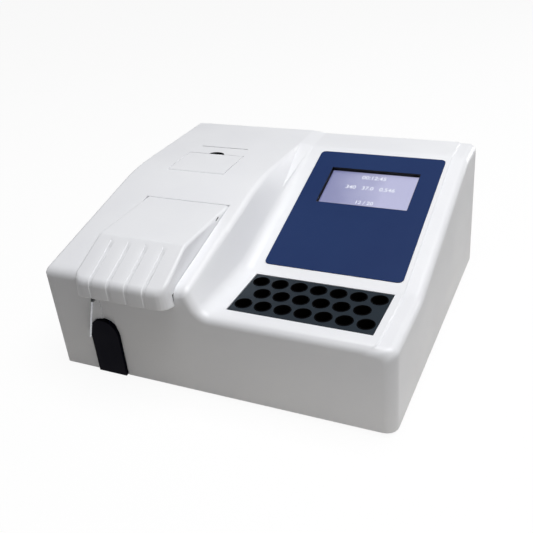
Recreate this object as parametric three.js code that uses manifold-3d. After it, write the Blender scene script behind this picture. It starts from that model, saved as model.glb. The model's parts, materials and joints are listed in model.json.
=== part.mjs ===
// A benchtop chemistry analyzer: a white moulded housing with a lidded measuring bay and a printer on
// the left, and a sloped console with a display and a heated block of wells on the right.
// Millimetres. X runs to the right, Y to the back, Z up. The origin is the middle of the footprint.
import * as THREE from "three";
import { mergeVertices } from "three/addons/utils/BufferGeometryUtils.js";
import Module from "manifold-3d";

const wasm = await Module();
wasm.setup();

// Driving dimensions
const gap = 0.3;
const looseGap = 0.6;
const overrun = 2;
const weld = 0.0001;
const segments = { fine: 32, round: 24, well: 16, small: 12, tiny: 8, arc: 4, shoulder: 6, corner: 5 };

const feet = { height: 3, radius: 9, taper: 1, insetX: 25, insetY: 25, stemRadius: 2.4, stemTop: 2 };

const housing = {
  width: 340,
  depth: 315.3,
  wall: 2.5,
  plateauHeight: 143.3,
  plateauFrontHeight: 106.6,
  bendAheadOfCover: 3.5,
  plateauBend: 25,
  consoleRearDrop: 2.4,
  consoleRearFlat: 42.2,
  deckHeight: 84.6,
  deckDepth: 86.4,
  kinkBlend: 4,
  crestFromLeft: 153.8,
  crestRadius: 7,
  wallRunFront: 12.2,
  wallRunRear: 16.2,
  valleyRadius: 14,
  leftEdgeRadius: 5,
  shoulderRadius: 16,
  panelStep: 1.2,
  panelEdgeFromRight: 17.4,
  frontEdgeRadius: 8,
  frontLeftCornerRadius: 4,
  frontRightCornerRadius: 11,
  rearEdgeRadius: 1.5,
  rearCornerRadius: 2,
};

const lid = {
  fromLeft: 45.1,
  width: 94.1,
  flare: 3.1,
  rearFromFront: 121.65,
  ribLineFromFront: 36.2,
  skirtHeight: 92.4,
  overhang: 13.9,
  browAbovePlateau: 4.04,
  wall: 2.5,
  rearWall: 2,
  sideDip: 3.5,
  seam: 0.95,
  sideGap: 0.7,
  faceGap: 0.7,
  ribLineRadius: 10,
  browRadius: 9,
  hemRadius: 1.2,
  rearChamfer: 1.2,
  topEdgeRadius: 3,
  frontCornerRadius: 11,
  bands: 5,
  grooveWidth: 5,
  grooveFloor: 2,
  grooveDepth: 1.3,
  grooveFromRib: 5,
};

const lidHinge = {
  fromSeam: 22.95,
  belowTop: 6.5,
  pinRadius: 1.5,
  bossRadius: 3.6,
  earWidth: 3,
  earInset: 3.8,
  knuckleWidth: 3,
  knuckleReach: 6,
  pinOverrun: 0.5,
  footFront: 22,
  footRear: 8,
};

const bay = { sill: 95, floor: 77, wall: 2, legRadius: 4, legInset: 6, legInsetFront: 44 };

const pump = {
  fromBayCentre: 21.85,
  fromFront: 52.7,
  side: 46,
  height: 18,
  floor: 4,
  tubeCentreRadius: 16.3,
  tubeRadius: 1.5,
  tubeHeight: 12,
  drainBehindFoot: 7.2,
  rollerRadius: 3.5,
  rollerPinRadius: 1.2,
  discRadius: 14,
  discThickness: 2.2,
  hubRadius: 4,
  knobRadius: 6,
  knobHeight: 5,
  shaftRadius: 1.5,
  shaftInMotor: 8,
  motorRadius: 18,
  motorHeight: 34,
  rollers: 3,
};

const hoses = { straight: 5, turnIn: 4, wideTurn: 14, run: 30 };

const optics = {
  fromBayCentre: -7.15,
  height: 89,
  beamRadius: 3,
  holderWidth: 30,
  holderDepth: 30,
  holderHeight: 23,
  holderFromRear: 6,
  cellSide: 12,
  cellProud: 1,
  cellFloor: 4,
  spigotRadius: 2.2,
  spigotLength: 3,
  spigotHeight: 16,
  boardThickness: 1.6,
  boardMargin: 2,
  diodeRadius: 2.5,
  diodeLength: 3,
  plugWidth: 10,
  plugDepth: 4,
  plugHeight: 6,
  tubeRadius: 8,
  tubeBore: 4,
  tubeLength: 21,
  tubeFoot: 12,
  wheelRadius: 25,
  filterCircle: 18.3,
  filterRadius: 4.5,
  filters: 8,
  wheelThickness: 4,
  wheelGap: 1.5,
  wheelHub: 6,
  wheelShaft: 1.5,
  motorRadius: 8.5,
  motorLength: 15,
  motorFoot: 14,
  shaftInMotor: 6,
  benchHeight: 56,
  benchThickness: 2.5,
  benchMargin: 14,
  benchFoot: 10,
  benchInset: 4,
  lampWidth: 18,
  lampDepth: 15,
  lampHeight: 42,
  lampWall: 3,
  lampBaseWidth: 11,
  lampBaseHeight: 8,
  bulbRadius: 5,
  bulbHeight: 25,
};

const needle = {
  radius: 0.9,
  fromLidLeft: 4.9,
  tipForward: 12.8,
  tipHeight: 48.1,
  rimForward: 2.5,
  rimHeight: 81.4,
  rimShift: 2.5,
  bendHeight: 94,
  shoulderHeight: 107.5,
  shoulderBack: 7,
  endBack: 26,
  sleeveRadius: 1.5,
  sleeveLength: 5,
  notchWidth: 4.2,
  notchFloor: 81,
  holderWidth: 9,
  holderDepth: 12,
  holderAbove: 3,
  turnIn: 6,
};

const key = {
  fromLidLeft: 13.1,
  width: 31.8,
  height: 61.5,
  proud: 3,
  thickness: 5,
  side: 0.5,
  travel: 2.5,
  pressGap: 0.2,
  bottomGap: 0.2,
  stemRadius: 2.5,
  stemLength: 17,
  stemLow: 14,
  stemHigh: 48,
  bracketThickness: 2,
  bracketMargin: 5,
  bracketFoot: 14,
  switchWidth: 15,
  switchHeight: 10,
  switchDepth: 4,
  switchFromBottom: 25,
  scoopDepth: 1.2,
  scoopTopWidth: 6.7,
};

const membrane = {
  fromCrest: 29.6,
  fromRight: 21,
  fromKink: 11.5,
  fromBreak: 8.38,
  cornerRadius: 5,
  thickness: 0.6,
  pocket: 0.5,
  pocketMargin: 0.4,
  windowFromLeft: 20.6,
  windowFromRight: 20.2,
  windowFromTop: 25.8,
  windowHeight: 56,
};

const display = {
  glassMargin: 3,
  glassThickness: 1.1,
  moduleMargin: 5.5,
  moduleThickness: 3,
  boardMargin: 12.5,
  boardThickness: 1.6,
  postRadius: 3,
  postInset: 3.5,
  chipSide: 14,
  chipHeight: 2,
};

const incubator = {
  fromCrest: 28.7,
  fromRight: 23.7,
  fromFront: 17.95,
  depth: 64.75,
  rim: 0.4,
  recess: 0.4,
  height: 35,
  wellRadiusShare: 0.3873,
  wellDepth: 31,
  firstWell: 10.35,
  lastWell: 10.35,
  frontRow: 13.95,
  rowPitch: 19.35,
  rows: 3,
  wellsInLongRow: 7,
  heaterMargin: 7,
  heaterThickness: 2,
  bracketThickness: 2,
  bracketInset: 12,
  bracketFoot: 10,
  bracketMargin: 6,
};

const printer = {
  coverFromLeft: 41,
  coverWidth: 67,
  coverBehindLid: 50.05,
  coverDepth: 48.3,
  coverGap: 0.7,
  coverSeam: 0.95,
  coverChamfer: 1.2,
  coverChamferDrop: 2.4,
  scoopHalfWidth: 9.25,
  scoopDepth: 6.5,
  slotBehindCover: 20.9,
  slotWidth: 58.2,
  slotThickness: 1.2,
  hingeFromFront: 15,
  hingeBelow: 6.5,
  pinRadius: 1,
  knuckleRadius: 2.6,
  knuckleWidth: 2.5,
  knuckleInset: 1,
  knuckleReach: 5,
  frameOutside: 4,
  frameWall: 2,
  frameDepthBelow: 43.3,
  frameBehindSlot: 5.8,
  rollRadius: 15,
  rollWidth: 57,
  coreRadius: 6,
  rollFromHinge: 17,
  rollBelow: 25.3,
  spindleRadius: 5.2,
  spindleReach: 5,
  platenRadius: 6,
  platenBelow: 12.3,
  platenLength: 59,
  platenShaft: 1.5,
  headThickness: 5.1,
  headHeight: 15,
  headBelow: 7.3,
  headLength: 59,
  motorRadius: 9,
  motorLength: 15,
  shaftInMotor: 6,
};

const rear = {
  panelThickness: 1.6,
  recess: 6,
  fanSide: 60,
  fanDepth: 15,
  fanFromRight: 80,
  fanHeight: 57,
  fanBore: 27.5,
  fanHub: 11,
  fanCup: 3,
  fanBlades: 7,
  bladeLength: 15.5,
  bladeChord: 13,
  bladeThickness: 1.4,
  bladePitchDegrees: 35,
  strutWidth: 3,
  slotHeight: 3.2,
  slotPitch: 5.6,
  slots: 9,
  inletFromLeft: 60,
  inletHeight: 37,
  inletWidth: 50,
  inletTall: 28,
  flangeThickness: 2,
  bodyMargin: 2,
  bodyDepth: 22,
  socketWidth: 24,
  socketTall: 16.5,
  socketDepth: 16,
  socketShift: 9,
  prongWidth: 2,
  prongTall: 4,
  prongLength: 11,
  prongSpread: 7,
  prongRise: 2,
  rockerWidth: 12,
  rockerTall: 20,
  rockerDepth: 7,
  rockerShift: 15.5,
  rockerAngleDegrees: 7,
  rockerShaft: 1.2,
  rockerBearing: 1,
  portFromMiddle: -2,
  portHeight: 33,
  portWidth: 31,
  portTall: 12.5,
  portShellWidth: 17,
  portShellTall: 8.5,
  portShellLength: 4.6,
  portBodyDepth: 10,
  portFlange: 1,
  portLean: 1.4,
  wasteHeight: 27,
  wasteFlange: 6,
  wasteBarb: 2.4,
  wasteTail: 8,
  wasteBore: 1.2,
};

const base = { thickness: 1.5, cornerRadius: 9, notchMargin: 3, notchDepth: 6 };

const supply = {
  fromLeft: 10,
  width: 94,
  height: 40,
  roomFront: 31,
  roomRear: 6,
  ventWidth: 60,
  ventPitch: 9,
  vents: 5,
  ventThickness: 4,
  ventDepth: 1.5,
};

const board = {
  fromRight: 20,
  fromCrest: 33.7,
  depth: 120,
  fromKink: 44,
  standoff: 10,
  thickness: 1.6,
  postRadius: 3,
  postInset: 6,
  chipSide: 22,
  chipHeight: 3,
  headerLength: 30,
  headerWidth: 8,
  headerHeight: 9,
  canRadius: 5,
  canHeight: 16,
};

// Places that follow from the driving dimensions
const left = -housing.width / 2;
const right = housing.width / 2;
const back = (housing.depth + lid.overhang) / 2;
const front = back - housing.depth;
const bottom = feet.height;
const floorTop = bottom + base.thickness;
const plateauTop = bottom + housing.plateauHeight;
const deckTop = bottom + housing.deckHeight;
const consoleTop = plateauTop - housing.consoleRearDrop;
const lidRear = front + lid.rearFromFront;
const coverFront = lidRear + printer.coverBehindLid;
const bendY = coverFront - housing.bendAheadOfCover;
const plateauSlope = (housing.plateauHeight - housing.plateauFrontHeight) / (bendY - front);
const kinkY = front + housing.deckDepth;
const consoleBreakY = back - housing.consoleRearFlat;
const consoleSlope = (consoleTop - deckTop) / (consoleBreakY - kinkY);
const consoleAngle = Math.atan(consoleSlope);
const crestX = left + housing.crestFromLeft;

// A height that bends by a slope at one place, with a parabola instead of a corner
function bend(distance, halfLength) {
  if (distance <= -halfLength) return 0;
  if (distance >= halfLength) return distance;
  return (distance + halfLength) ** 2 / (4 * halfLength);
}

function plateauAt(y) {
  return plateauTop - plateauSlope * bend(bendY - y, housing.plateauBend);
}

function consoleAt(y) {
  const rise = bend(y - kinkY, housing.kinkBlend) - bend(y - consoleBreakY, housing.kinkBlend);
  return deckTop + consoleSlope * rise;
}

// Solids and meshes
function solidOf(geometry) {
  const bare = geometry.index ? geometry.toNonIndexed() : geometry.clone();
  bare.deleteAttribute("normal");
  bare.deleteAttribute("uv");
  const merged = mergeVertices(bare, weld);
  const mesh = new wasm.Mesh({
    numProp: 3,
    vertProperties: new Float32Array(merged.attributes.position.array),
    triVerts: new Uint32Array(merged.index.array),
  });
  return new wasm.Manifold(mesh);
}

function geometryOf(solid) {
  const mesh = solid.getMesh();
  const geometry = new THREE.BufferGeometry();
  geometry.setAttribute("position", new THREE.BufferAttribute(mesh.vertProperties, 3));
  geometry.setIndex(new THREE.BufferAttribute(mesh.triVerts, 1));
  geometry.computeVertexNormals();
  return geometry;
}

function block(x0, x1, y0, y1, z0, z1) {
  const geometry = new THREE.BoxGeometry(x1 - x0, y1 - y0, z1 - z0);
  geometry.translate((x0 + x1) / 2, (y0 + y1) / 2, (z0 + z1) / 2);
  return solidOf(geometry);
}

// A block given by its middle in X and Y, its underside and its three sizes
function blockAt(x, y, z0, sizeX, sizeY, sizeZ) {
  return block(x - sizeX / 2, x + sizeX / 2, y - sizeY / 2, y + sizeY / 2, z0, z0 + sizeZ);
}

// Cylinders along each axis, from one end to the other
function rodZ(x, y, z0, z1, radius, count = segments.round) {
  const geometry = new THREE.CylinderGeometry(radius, radius, z1 - z0, count);
  geometry.rotateX(Math.PI / 2);
  geometry.translate(x, y, (z0 + z1) / 2);
  return solidOf(geometry);
}

function rodY(x, z, y0, y1, radius, count = segments.round) {
  const geometry = new THREE.CylinderGeometry(radius, radius, y1 - y0, count);
  geometry.translate(x, (y0 + y1) / 2, z);
  return solidOf(geometry);
}

function rodX(y, z, x0, x1, radius, count = segments.round) {
  const geometry = new THREE.CylinderGeometry(radius, radius, x1 - x0, count);
  geometry.rotateZ(Math.PI / 2);
  geometry.translate((x0 + x1) / 2, y, z);
  return solidOf(geometry);
}

function shapeOf(points) {
  return new THREE.Shape(points.map(([u, v]) => new THREE.Vector2(u, v)));
}

// Prisms: an outline in the named plane, pushed along the third axis
function prismZ(points, z0, z1) {
  const geometry = new THREE.ExtrudeGeometry(shapeOf(points), { depth: z1 - z0, bevelEnabled: false });
  geometry.translate(0, 0, z0);
  return solidOf(geometry);
}

function prismY(points, y0, y1) {
  const geometry = new THREE.ExtrudeGeometry(shapeOf(points), { depth: y1 - y0, bevelEnabled: false });
  geometry.rotateX(Math.PI / 2);
  geometry.translate(0, y1, 0);
  return solidOf(geometry);
}

function prismX(points, x0, x1) {
  const geometry = new THREE.ExtrudeGeometry(shapeOf(points), { depth: x1 - x0, bevelEnabled: false });
  geometry.rotateY(Math.PI / 2);
  geometry.rotateX(Math.PI / 2);
  geometry.translate(x0, 0, 0);
  return solidOf(geometry);
}

function joined(solids) {
  return solids.reduce((sum, next) => sum.add(next));
}

// The triangles that fill an outline, each turning the same way as the outline
function capOf(outline) {
  const turn = Math.sign(THREE.ShapeUtils.area(outline));
  return THREE.ShapeUtils.triangulateShape([...outline], []).map(([a, b, c]) => {
    const same = Math.sign(THREE.ShapeUtils.area([outline[a], outline[b], outline[c]])) === turn;
    return same ? [a, b, c] : [a, c, b];
  });
}

// A closed skin through rings of equal length, capped at both ends. flat gives a point's place in the cap.
function loft(rings, flat) {
  const count = rings[0].length;
  const positions = rings.flat().flat();
  const faces = [];
  for (let ring = 0; ring + 1 < rings.length; ring++) {
    for (let i = 0; i < count; i++) {
      const a = ring * count + i;
      const b = ring * count + ((i + 1) % count);
      faces.push(a, b, a + count, b, b + count, a + count);
    }
  }
  const last = (rings.length - 1) * count;
  for (const [a, b, c] of capOf(rings[0].map(flat))) faces.push(a, c, b);
  for (const [a, b, c] of capOf(rings[rings.length - 1].map(flat))) faces.push(last + a, last + b, last + c);
  const geometry = new THREE.BufferGeometry();
  geometry.setAttribute("position", new THREE.Float32BufferAttribute(positions, 3));
  geometry.setIndex(faces);
  const solid = solidOf(geometry);
  if (solid.volume() > 0) return solid;
  for (let i = 0; i < faces.length; i += 3) [faces[i], faces[i + 1]] = [faces[i + 1], faces[i]];
  geometry.setIndex(faces);
  return solidOf(geometry);
}

// An outline whose corners are rounded: each corner is [u, v, radius, steps], and the tangent is
// limited by the sides that it sits between
function rounded(corners) {
  const outline = [];
  corners.forEach(([u, v, radius = 0, steps = 0], i) => {
    const here = new THREE.Vector2(u, v);
    if (steps === 0) {
      outline.push([u, v]);
      return;
    }
    const before = corners[(i + corners.length - 1) % corners.length];
    const after = corners[(i + 1) % corners.length];
    const toBefore = new THREE.Vector2(before[0], before[1]).sub(here);
    const toAfter = new THREE.Vector2(after[0], after[1]).sub(here);
    const roomShare = 0.48;
    const room = roomShare * Math.min(toBefore.length(), toAfter.length());
    toBefore.normalize();
    toAfter.normalize();
    const half = Math.acos(THREE.MathUtils.clamp(toBefore.dot(toAfter), -1, 1)) / 2;
    const tangent = Math.min(radius / Math.tan(half), room);
    const trueRadius = tangent * Math.tan(half);
    const centre = toBefore.clone().add(toAfter).normalize();
    centre.multiplyScalar(trueRadius / Math.sin(half)).add(here);
    const from = here.clone().addScaledVector(toBefore, tangent).sub(centre);
    const to = here.clone().addScaledVector(toAfter, tangent).sub(centre);
    const sweep = Math.atan2(from.x * to.y - from.y * to.x, from.dot(to));
    for (let step = 0; step <= steps; step++) {
      const turned = from.clone().rotateAround(new THREE.Vector2(), (sweep * step) / steps);
      outline.push([centre.x + turned.x, centre.y + turned.y]);
    }
  });
  return outline;
}

// How far a quarter-round edge has drawn in at a distance from where it starts
function drawnIn(distance, radius) {
  if (radius <= 0 || distance >= radius) return 0;
  return radius - Math.sqrt(radius ** 2 - (radius - Math.max(distance, 0)) ** 2);
}

// The middle line of a hose: straight runs through the points, with each corner rounded off
function routed(points, turnIn) {
  const corners = points.map((p) => new THREE.Vector3(...p));
  const line = [corners[0]];
  const reachShare = 0.45;
  for (let i = 1; i + 1 < corners.length; i++) {
    const toBefore = corners[i - 1].clone().sub(corners[i]);
    const toAfter = corners[i + 1].clone().sub(corners[i]);
    const reach = Math.min(turnIn, reachShare * toBefore.length(), reachShare * toAfter.length());
    const from = corners[i].clone().addScaledVector(toBefore.normalize(), reach);
    const to = corners[i].clone().addScaledVector(toAfter.normalize(), reach);
    const curve = new THREE.QuadraticBezierCurve3(from, corners[i], to);
    line.push(...curve.getPoints(segments.arc));
  }
  line.push(corners[corners.length - 1]);
  return line;
}

// A hose along points. Each ring's frame is carried over from the ring before it, so nothing twists.
function hose(points, radius, turnIn = 0, sides = segments.tiny) {
  const line = turnIn > 0 ? routed(points, turnIn) : points.map((p) => new THREE.Vector3(...p));
  const runs = line.slice(1).map((p, i) => p.clone().sub(line[i]).normalize());
  const up = Math.abs(runs[0].z) < Math.SQRT1_2 ? new THREE.Vector3(0, 0, 1) : new THREE.Vector3(1, 0, 0);
  let across = new THREE.Vector3().crossVectors(runs[0], up).normalize();
  const rings = line.map((centre, i) => {
    const before = runs[Math.max(i - 1, 0)];
    const after = runs[Math.min(i, runs.length - 1)];
    const ahead = before.clone().add(after).normalize();
    across = across.clone().addScaledVector(ahead, -across.dot(ahead)).normalize();
    const beside = new THREE.Vector3().crossVectors(ahead, across);
    const ring = [];
    for (let side = 0; side < sides; side++) {
      const angle = (2 * Math.PI * side) / sides;
      const point = centre.clone().addScaledVector(across, radius * Math.cos(angle));
      ring.push(point.addScaledVector(beside, radius * Math.sin(angle)).toArray());
    }
    return ring;
  });
  return loft(rings, (point, side) => {
    const angle = (2 * Math.PI * side) / sides;
    return new THREE.Vector2(Math.cos(angle), Math.sin(angle));
  });
}

// A solid turned round the Z axis or laid along Y, from an outline of [radius, height] points
function turnedZ(points, x, y, z, count = segments.round) {
  const geometry = new THREE.LatheGeometry(points.map(([r, h]) => new THREE.Vector2(r, h)), count);
  geometry.rotateX(Math.PI / 2);
  geometry.translate(x, y, z);
  const solid = solidOf(geometry);
  return solid.volume() > 0 ? solid : solidOf(mirroredFaces(geometry));
}

function turnedY(points, x, y, z, count = segments.round) {
  const geometry = new THREE.LatheGeometry(points.map(([r, h]) => new THREE.Vector2(r, h)), count);
  geometry.translate(x, y, z);
  const solid = solidOf(geometry);
  return solid.volume() > 0 ? solid : solidOf(mirroredFaces(geometry));
}

function mirroredFaces(geometry) {
  const faces = geometry.index.array;
  for (let i = 0; i < faces.length; i += 3) [faces[i], faces[i + 1]] = [faces[i + 1], faces[i]];
  return geometry;
}

// The housing's cross-section at a place along Y, drawn in by inset, with its edges rounded
function housingSection(y, { inset = 0, start = front, end = back, under = bottom }) {
  const fromStart = y - start;
  const fromEnd = end - y;
  const leftSide =
    inset +
    drawnIn(fromStart, housing.frontLeftCornerRadius - inset) +
    drawnIn(fromEnd, housing.rearCornerRadius - inset);
  const rightSide =
    inset +
    drawnIn(fromStart, housing.frontRightCornerRadius - inset) +
    drawnIn(fromEnd, housing.rearCornerRadius - inset);
  const top =
    inset +
    drawnIn(fromStart, housing.frontEdgeRadius - inset) +
    drawnIn(fromEnd, housing.rearEdgeRadius - inset);
  const high = plateauAt(y);
  const low = consoleAt(y);
  const along = THREE.MathUtils.clamp((y - front) / housing.depth, 0, 1);
  const run = THREE.MathUtils.lerp(housing.wallRunFront, housing.wallRunRear, along);
  const length = Math.hypot(run, high - low);
  const normalX = -(high - low) / length;
  const normalZ = -run / length;
  const spread = 1 - normalZ;
  const shiftX = (top * normalX) / spread;
  const leastShare = 0.1;
  const shrink = (radius) => Math.max(radius - top, leastShare * radius);
  const stepZ = low - top - housing.panelStep;
  const panelX = right - rightSide - housing.panelEdgeFromRight + inset;
  const corners = [
    [left + leftSide, under],
    [left + leftSide, high - top, shrink(housing.leftEdgeRadius), segments.arc],
    [crestX + shiftX, high - top, shrink(housing.crestRadius), segments.arc],
    [crestX + run + shiftX, low - top, housing.valleyRadius + top, segments.corner],
    [panelX, low - top],
    [panelX + housing.panelStep, stepZ],
    [right - rightSide, stepZ, shrink(housing.shoulderRadius), segments.shoulder],
    [right - rightSide, under],
  ];
  return rounded(corners).map(([x, z]) => [x, y, z]);
}

// Places along Y where the housing's section changes
function housingStations(inset, start, end) {
  const turns = segments.corner;
  const stations = [];
  for (let i = 0; i <= turns; i++) {
    const angle = (Math.PI / 2) * (i / turns);
    stations.push(start + (housing.frontRightCornerRadius - inset) * (1 - Math.cos(angle)));
  }
  const blend = housing.kinkBlend;
  stations.push(kinkY - blend, kinkY - blend / 2, kinkY, kinkY + blend / 2, kinkY + blend);
  const bendShares = [-1, -0.6, -0.2, 0.2, 0.6, 1];
  bendShares.forEach((share) => stations.push(bendY + share * housing.plateauBend));
  stations.push(consoleBreakY - blend, consoleBreakY, consoleBreakY + blend);
  if (inset === 0) {
    stations.push(end - housing.rearCornerRadius, end - housing.rearEdgeRadius / 2);
  }
  stations.push(end);
  return stations;
}

// The space that the housing fills, drawn in by inset, from start to end and down to under
function housingBody(options) {
  const { inset = 0, start = front, end = back } = options;
  const rings = housingStations(inset, start, end).map((y) => housingSection(y, options));
  return loft(rings, ([x, , z]) => new THREE.Vector2(x, z));
}

function housingInside(inset) {
  const start = front + inset;
  const end = back + overrun;
  return housingBody({ inset, start, end, under: bottom - overrun });
}

const insideSpace = housingInside(housing.wall);
const seatSpace = housingInside(housing.wall + gap);
const outsideSpace = housingBody({});

// The lid's places
const lidCentre = left + lid.fromLeft + lid.width / 2;
const lidFront = front - lid.overhang;
const lidTop = plateauAt(lidRear);
const ribLineY = front + lid.ribLineFromFront;
const skirtBottom = bottom + lid.skirtHeight;
const faceY = front - lid.faceGap;
const slopeRise = lidTop - plateauAt(front) - lid.browAbovePlateau;
const lidPivotY = lidRear - lidHinge.fromSeam;
const lidPivotZ = lidTop - lidHinge.belowTop;
const sillZ = bottom + bay.sill;
const bayFloor = bottom + bay.floor;

function lidHalfWidth(z) {
  return lid.width / 2 + (lid.flare * (lidTop - z)) / (lidTop - skirtBottom);
}

// The lid widens towards its hem: a solid made with straight sides is spread by its height
function flared(solid) {
  return solid.warp((vertex) => {
    const [x, , z] = vertex;
    vertex[0] = lidCentre + ((x - lidCentre) * lidHalfWidth(z)) / (lid.width / 2);
  });
}

// The lid's side view, with its top drawn in by top and its front by ahead
function lidProfile(top, ahead) {
  const brow = lidTop - slopeRise - top;
  const dipAt = (y) => plateauAt(y) - lid.sideDip;
  return rounded([
    [faceY, dipAt(faceY)],
    [faceY, skirtBottom],
    [lidFront + ahead, skirtBottom, lid.hemRadius, 1],
    [lidFront + ahead, brow + (ahead * slopeRise) / (ribLineY - lidFront), lid.browRadius, segments.arc],
    [ribLineY, lidTop - top, lid.ribLineRadius, segments.arc],
    [lidRear - lid.rearChamfer, lidTop - top],
    [lidRear, lidTop - lid.rearChamfer - top / 2],
    [lidRear, dipAt(lidRear)],
  ]);
}

// Sections across the lid: shares of the front corner's radius, from the side inwards
const lidSideShares = [0, 0.05, 0.14, 0.27, 0.5, 0.75, 1];

function acrossLid(half, cornerRadius, profileAt) {
  const distances = lidSideShares.map((share) => share * cornerRadius);
  const xs = distances.map((d) => d - half).concat(distances.map((d) => half - d).reverse());
  const rings = xs.map((x) => {
    const fromSide = half - Math.abs(x);
    return profileAt(fromSide).map(([y, z]) => [lidCentre + x, y, z]);
  });
  return loft(rings, ([, y, z]) => new THREE.Vector2(y, z));
}

function lidOuter() {
  return acrossLid(lid.width / 2, lid.frontCornerRadius, (fromSide) =>
    lidProfile(drawnIn(fromSide, lid.topEdgeRadius), drawnIn(fromSide, lid.frontCornerRadius)),
  );
}

function lidHollow() {
  const slope = slopeRise / (ribLineY - lidFront);
  const lean = lid.wall * Math.hypot(1, slope);
  const under = skirtBottom - overrun;
  const radius = lid.frontCornerRadius - lid.wall;
  return acrossLid(lid.width / 2 - lid.wall, radius, (fromSide) => {
    const inFront = lidFront + lid.wall + drawnIn(fromSide, radius);
    const cornerZ = lidTop - slopeRise + slope * (inFront - lidFront) - lean;
    return rounded([
      [lidRear - lid.rearWall, under],
      [lidRear - lid.rearWall, lidTop - lid.wall],
      [ribLineY + (lean - lid.wall) / slope, lidTop - lid.wall],
      [inFront, cornerZ, lid.browRadius - lid.wall, segments.arc],
      [inFront, under],
    ]);
  });
}

// One groove between two bands: a channel down the slope and the skirt, with leaning sides
function lidGroove(x) {
  const slope = slopeRise / (ribLineY - lidFront);
  const startY = ribLineY - lid.grooveFromRib;
  const outlineAt = (depth) => {
    const startZ = lidTop - lid.grooveFromRib * slope;
    const cornerZ = lidTop - slopeRise;
    const inner = [
      [startY, startZ - depth],
      [lidFront + depth, cornerZ - depth + slope * depth, lid.browRadius, segments.arc],
      [lidFront + depth, skirtBottom - overrun],
    ];
    const outer = [
      [lidFront - overrun, skirtBottom - overrun],
      [lidFront - overrun, cornerZ + overrun],
      [startY - overrun, startZ + overrun],
    ];
    return rounded([...inner, ...outer]);
  };
  const shallow = gap / 2;
  const places = [
    [-lid.grooveWidth / 2, -shallow],
    [-lid.grooveFloor / 2, lid.grooveDepth],
    [lid.grooveFloor / 2, lid.grooveDepth],
    [lid.grooveWidth / 2, -shallow],
  ];
  const rings = places.map(([dx, depth]) => outlineAt(depth).map(([y, z]) => [x + dx, y, z]));
  return loft(rings, ([, y, z]) => new THREE.Vector2(y, z));
}

// The hinge's places across the lid, as distances from its middle
const earOuter = lid.width / 2 - lidHinge.earInset;
const earInner = earOuter - lidHinge.earWidth;
const knuckleOuter = earInner - gap;
const knuckleInner = knuckleOuter - lidHinge.knuckleWidth;

function span(side, from, to) {
  const a = lidCentre + side * from;
  const b = lidCentre + side * to;
  return [Math.min(a, b), Math.max(a, b)];
}

function lidKnuckle(side) {
  const [x0, x1] = span(side, knuckleInner, knuckleOuter);
  const ceiling = lidTop - lid.wall + overrun / 2;
  const reach = lidHinge.knuckleReach;
  const points = [
    [lidPivotY - reach, ceiling],
    [lidPivotY + reach, ceiling],
    [lidPivotY + lidHinge.bossRadius, lidPivotZ],
    [lidPivotY, lidPivotZ - lidHinge.bossRadius],
    [lidPivotY - lidHinge.bossRadius, lidPivotZ],
  ];
  const web = prismX(points, x0, x1).add(rodX(lidPivotY, lidPivotZ, x0, x1, lidHinge.bossRadius));
  const hole = rodX(lidPivotY, lidPivotZ, x0 - overrun, x1 + overrun, lidHinge.pinRadius + gap);
  return web.subtract(hole);
}

function makeLid() {
  let shell = flared(lidOuter().subtract(lidHollow()));
  for (let i = 1; i < lid.bands; i++) {
    shell = shell.subtract(lidGroove(lidCentre - lid.width / 2 + (lid.width * i) / lid.bands));
  }
  return joined([shell, lidKnuckle(-1), lidKnuckle(1)]);
}

function makeHingeBracket(side) {
  const [x0, x1] = span(side, earInner, earOuter);
  const shoulderShare = 0.7;
  const points = [
    [lidPivotY - lidHinge.footFront, bayFloor],
    [lidPivotY - lidHinge.footRear, bayFloor],
    [lidPivotY + lidHinge.bossRadius * shoulderShare, lidPivotZ - lidHinge.bossRadius * shoulderShare],
    [lidPivotY - lidHinge.bossRadius * shoulderShare, lidPivotZ + lidHinge.bossRadius * shoulderShare],
  ];
  const post = prismX(points, x0, x1).add(rodX(lidPivotY, lidPivotZ, x0, x1, lidHinge.bossRadius));
  const hole = rodX(lidPivotY, lidPivotZ, x0 - overrun, x1 + overrun, lidHinge.pinRadius + gap);
  return post.subtract(hole);
}

function makeHingePin(side) {
  const [x0, x1] = span(side, knuckleInner - lidHinge.pinOverrun, earOuter + lidHinge.pinOverrun);
  return rodX(lidPivotY, lidPivotZ, x0, x1, lidHinge.pinRadius, segments.small);
}

// The opening in the plateau that the lid closes
function bayOpening() {
  const rearHalf = lidHalfWidth(lidTop) + lid.sideGap;
  const frontHalf = lidHalfWidth(plateauAt(front)) + lid.sideGap;
  const points = [
    [lidCentre - frontHalf, front - overrun],
    [lidCentre + frontHalf, front - overrun],
    [lidCentre + rearHalf, lidRear + lid.seam],
    [lidCentre - rearHalf, lidRear + lid.seam],
  ];
  return prismZ(points, sillZ, plateauTop + overrun);
}

// The needle's route, from the tip up under the skirt, in over the sill and back to its holder
const needleX = left + lid.fromLeft + needle.fromLidLeft + needle.rimShift;
const needleEndZ = bottom + needle.shoulderHeight;
const needleRise = (needle.bendHeight - needle.rimHeight) / (needle.rimHeight - needle.tipHeight);
const needleRim = [needleX, front - needle.rimForward, bottom + needle.rimHeight];
const needleTip = [needleX - needle.rimShift, front - needle.tipForward, bottom + needle.tipHeight];

function needleAt(share) {
  return needleRim.map((value, i) => value + (value - needleTip[i]) * share);
}

const needleBend = needleAt(needleRise);

function makeNeedle() {
  const shoulder = [needleBend[0], front + needle.shoulderBack, needleEndZ];
  const end = [needleBend[0], front + needle.endBack, needleEndZ];
  return hose([needleTip, needleRim, needleBend, shoulder, end], needle.radius, needle.turnIn);
}

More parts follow.
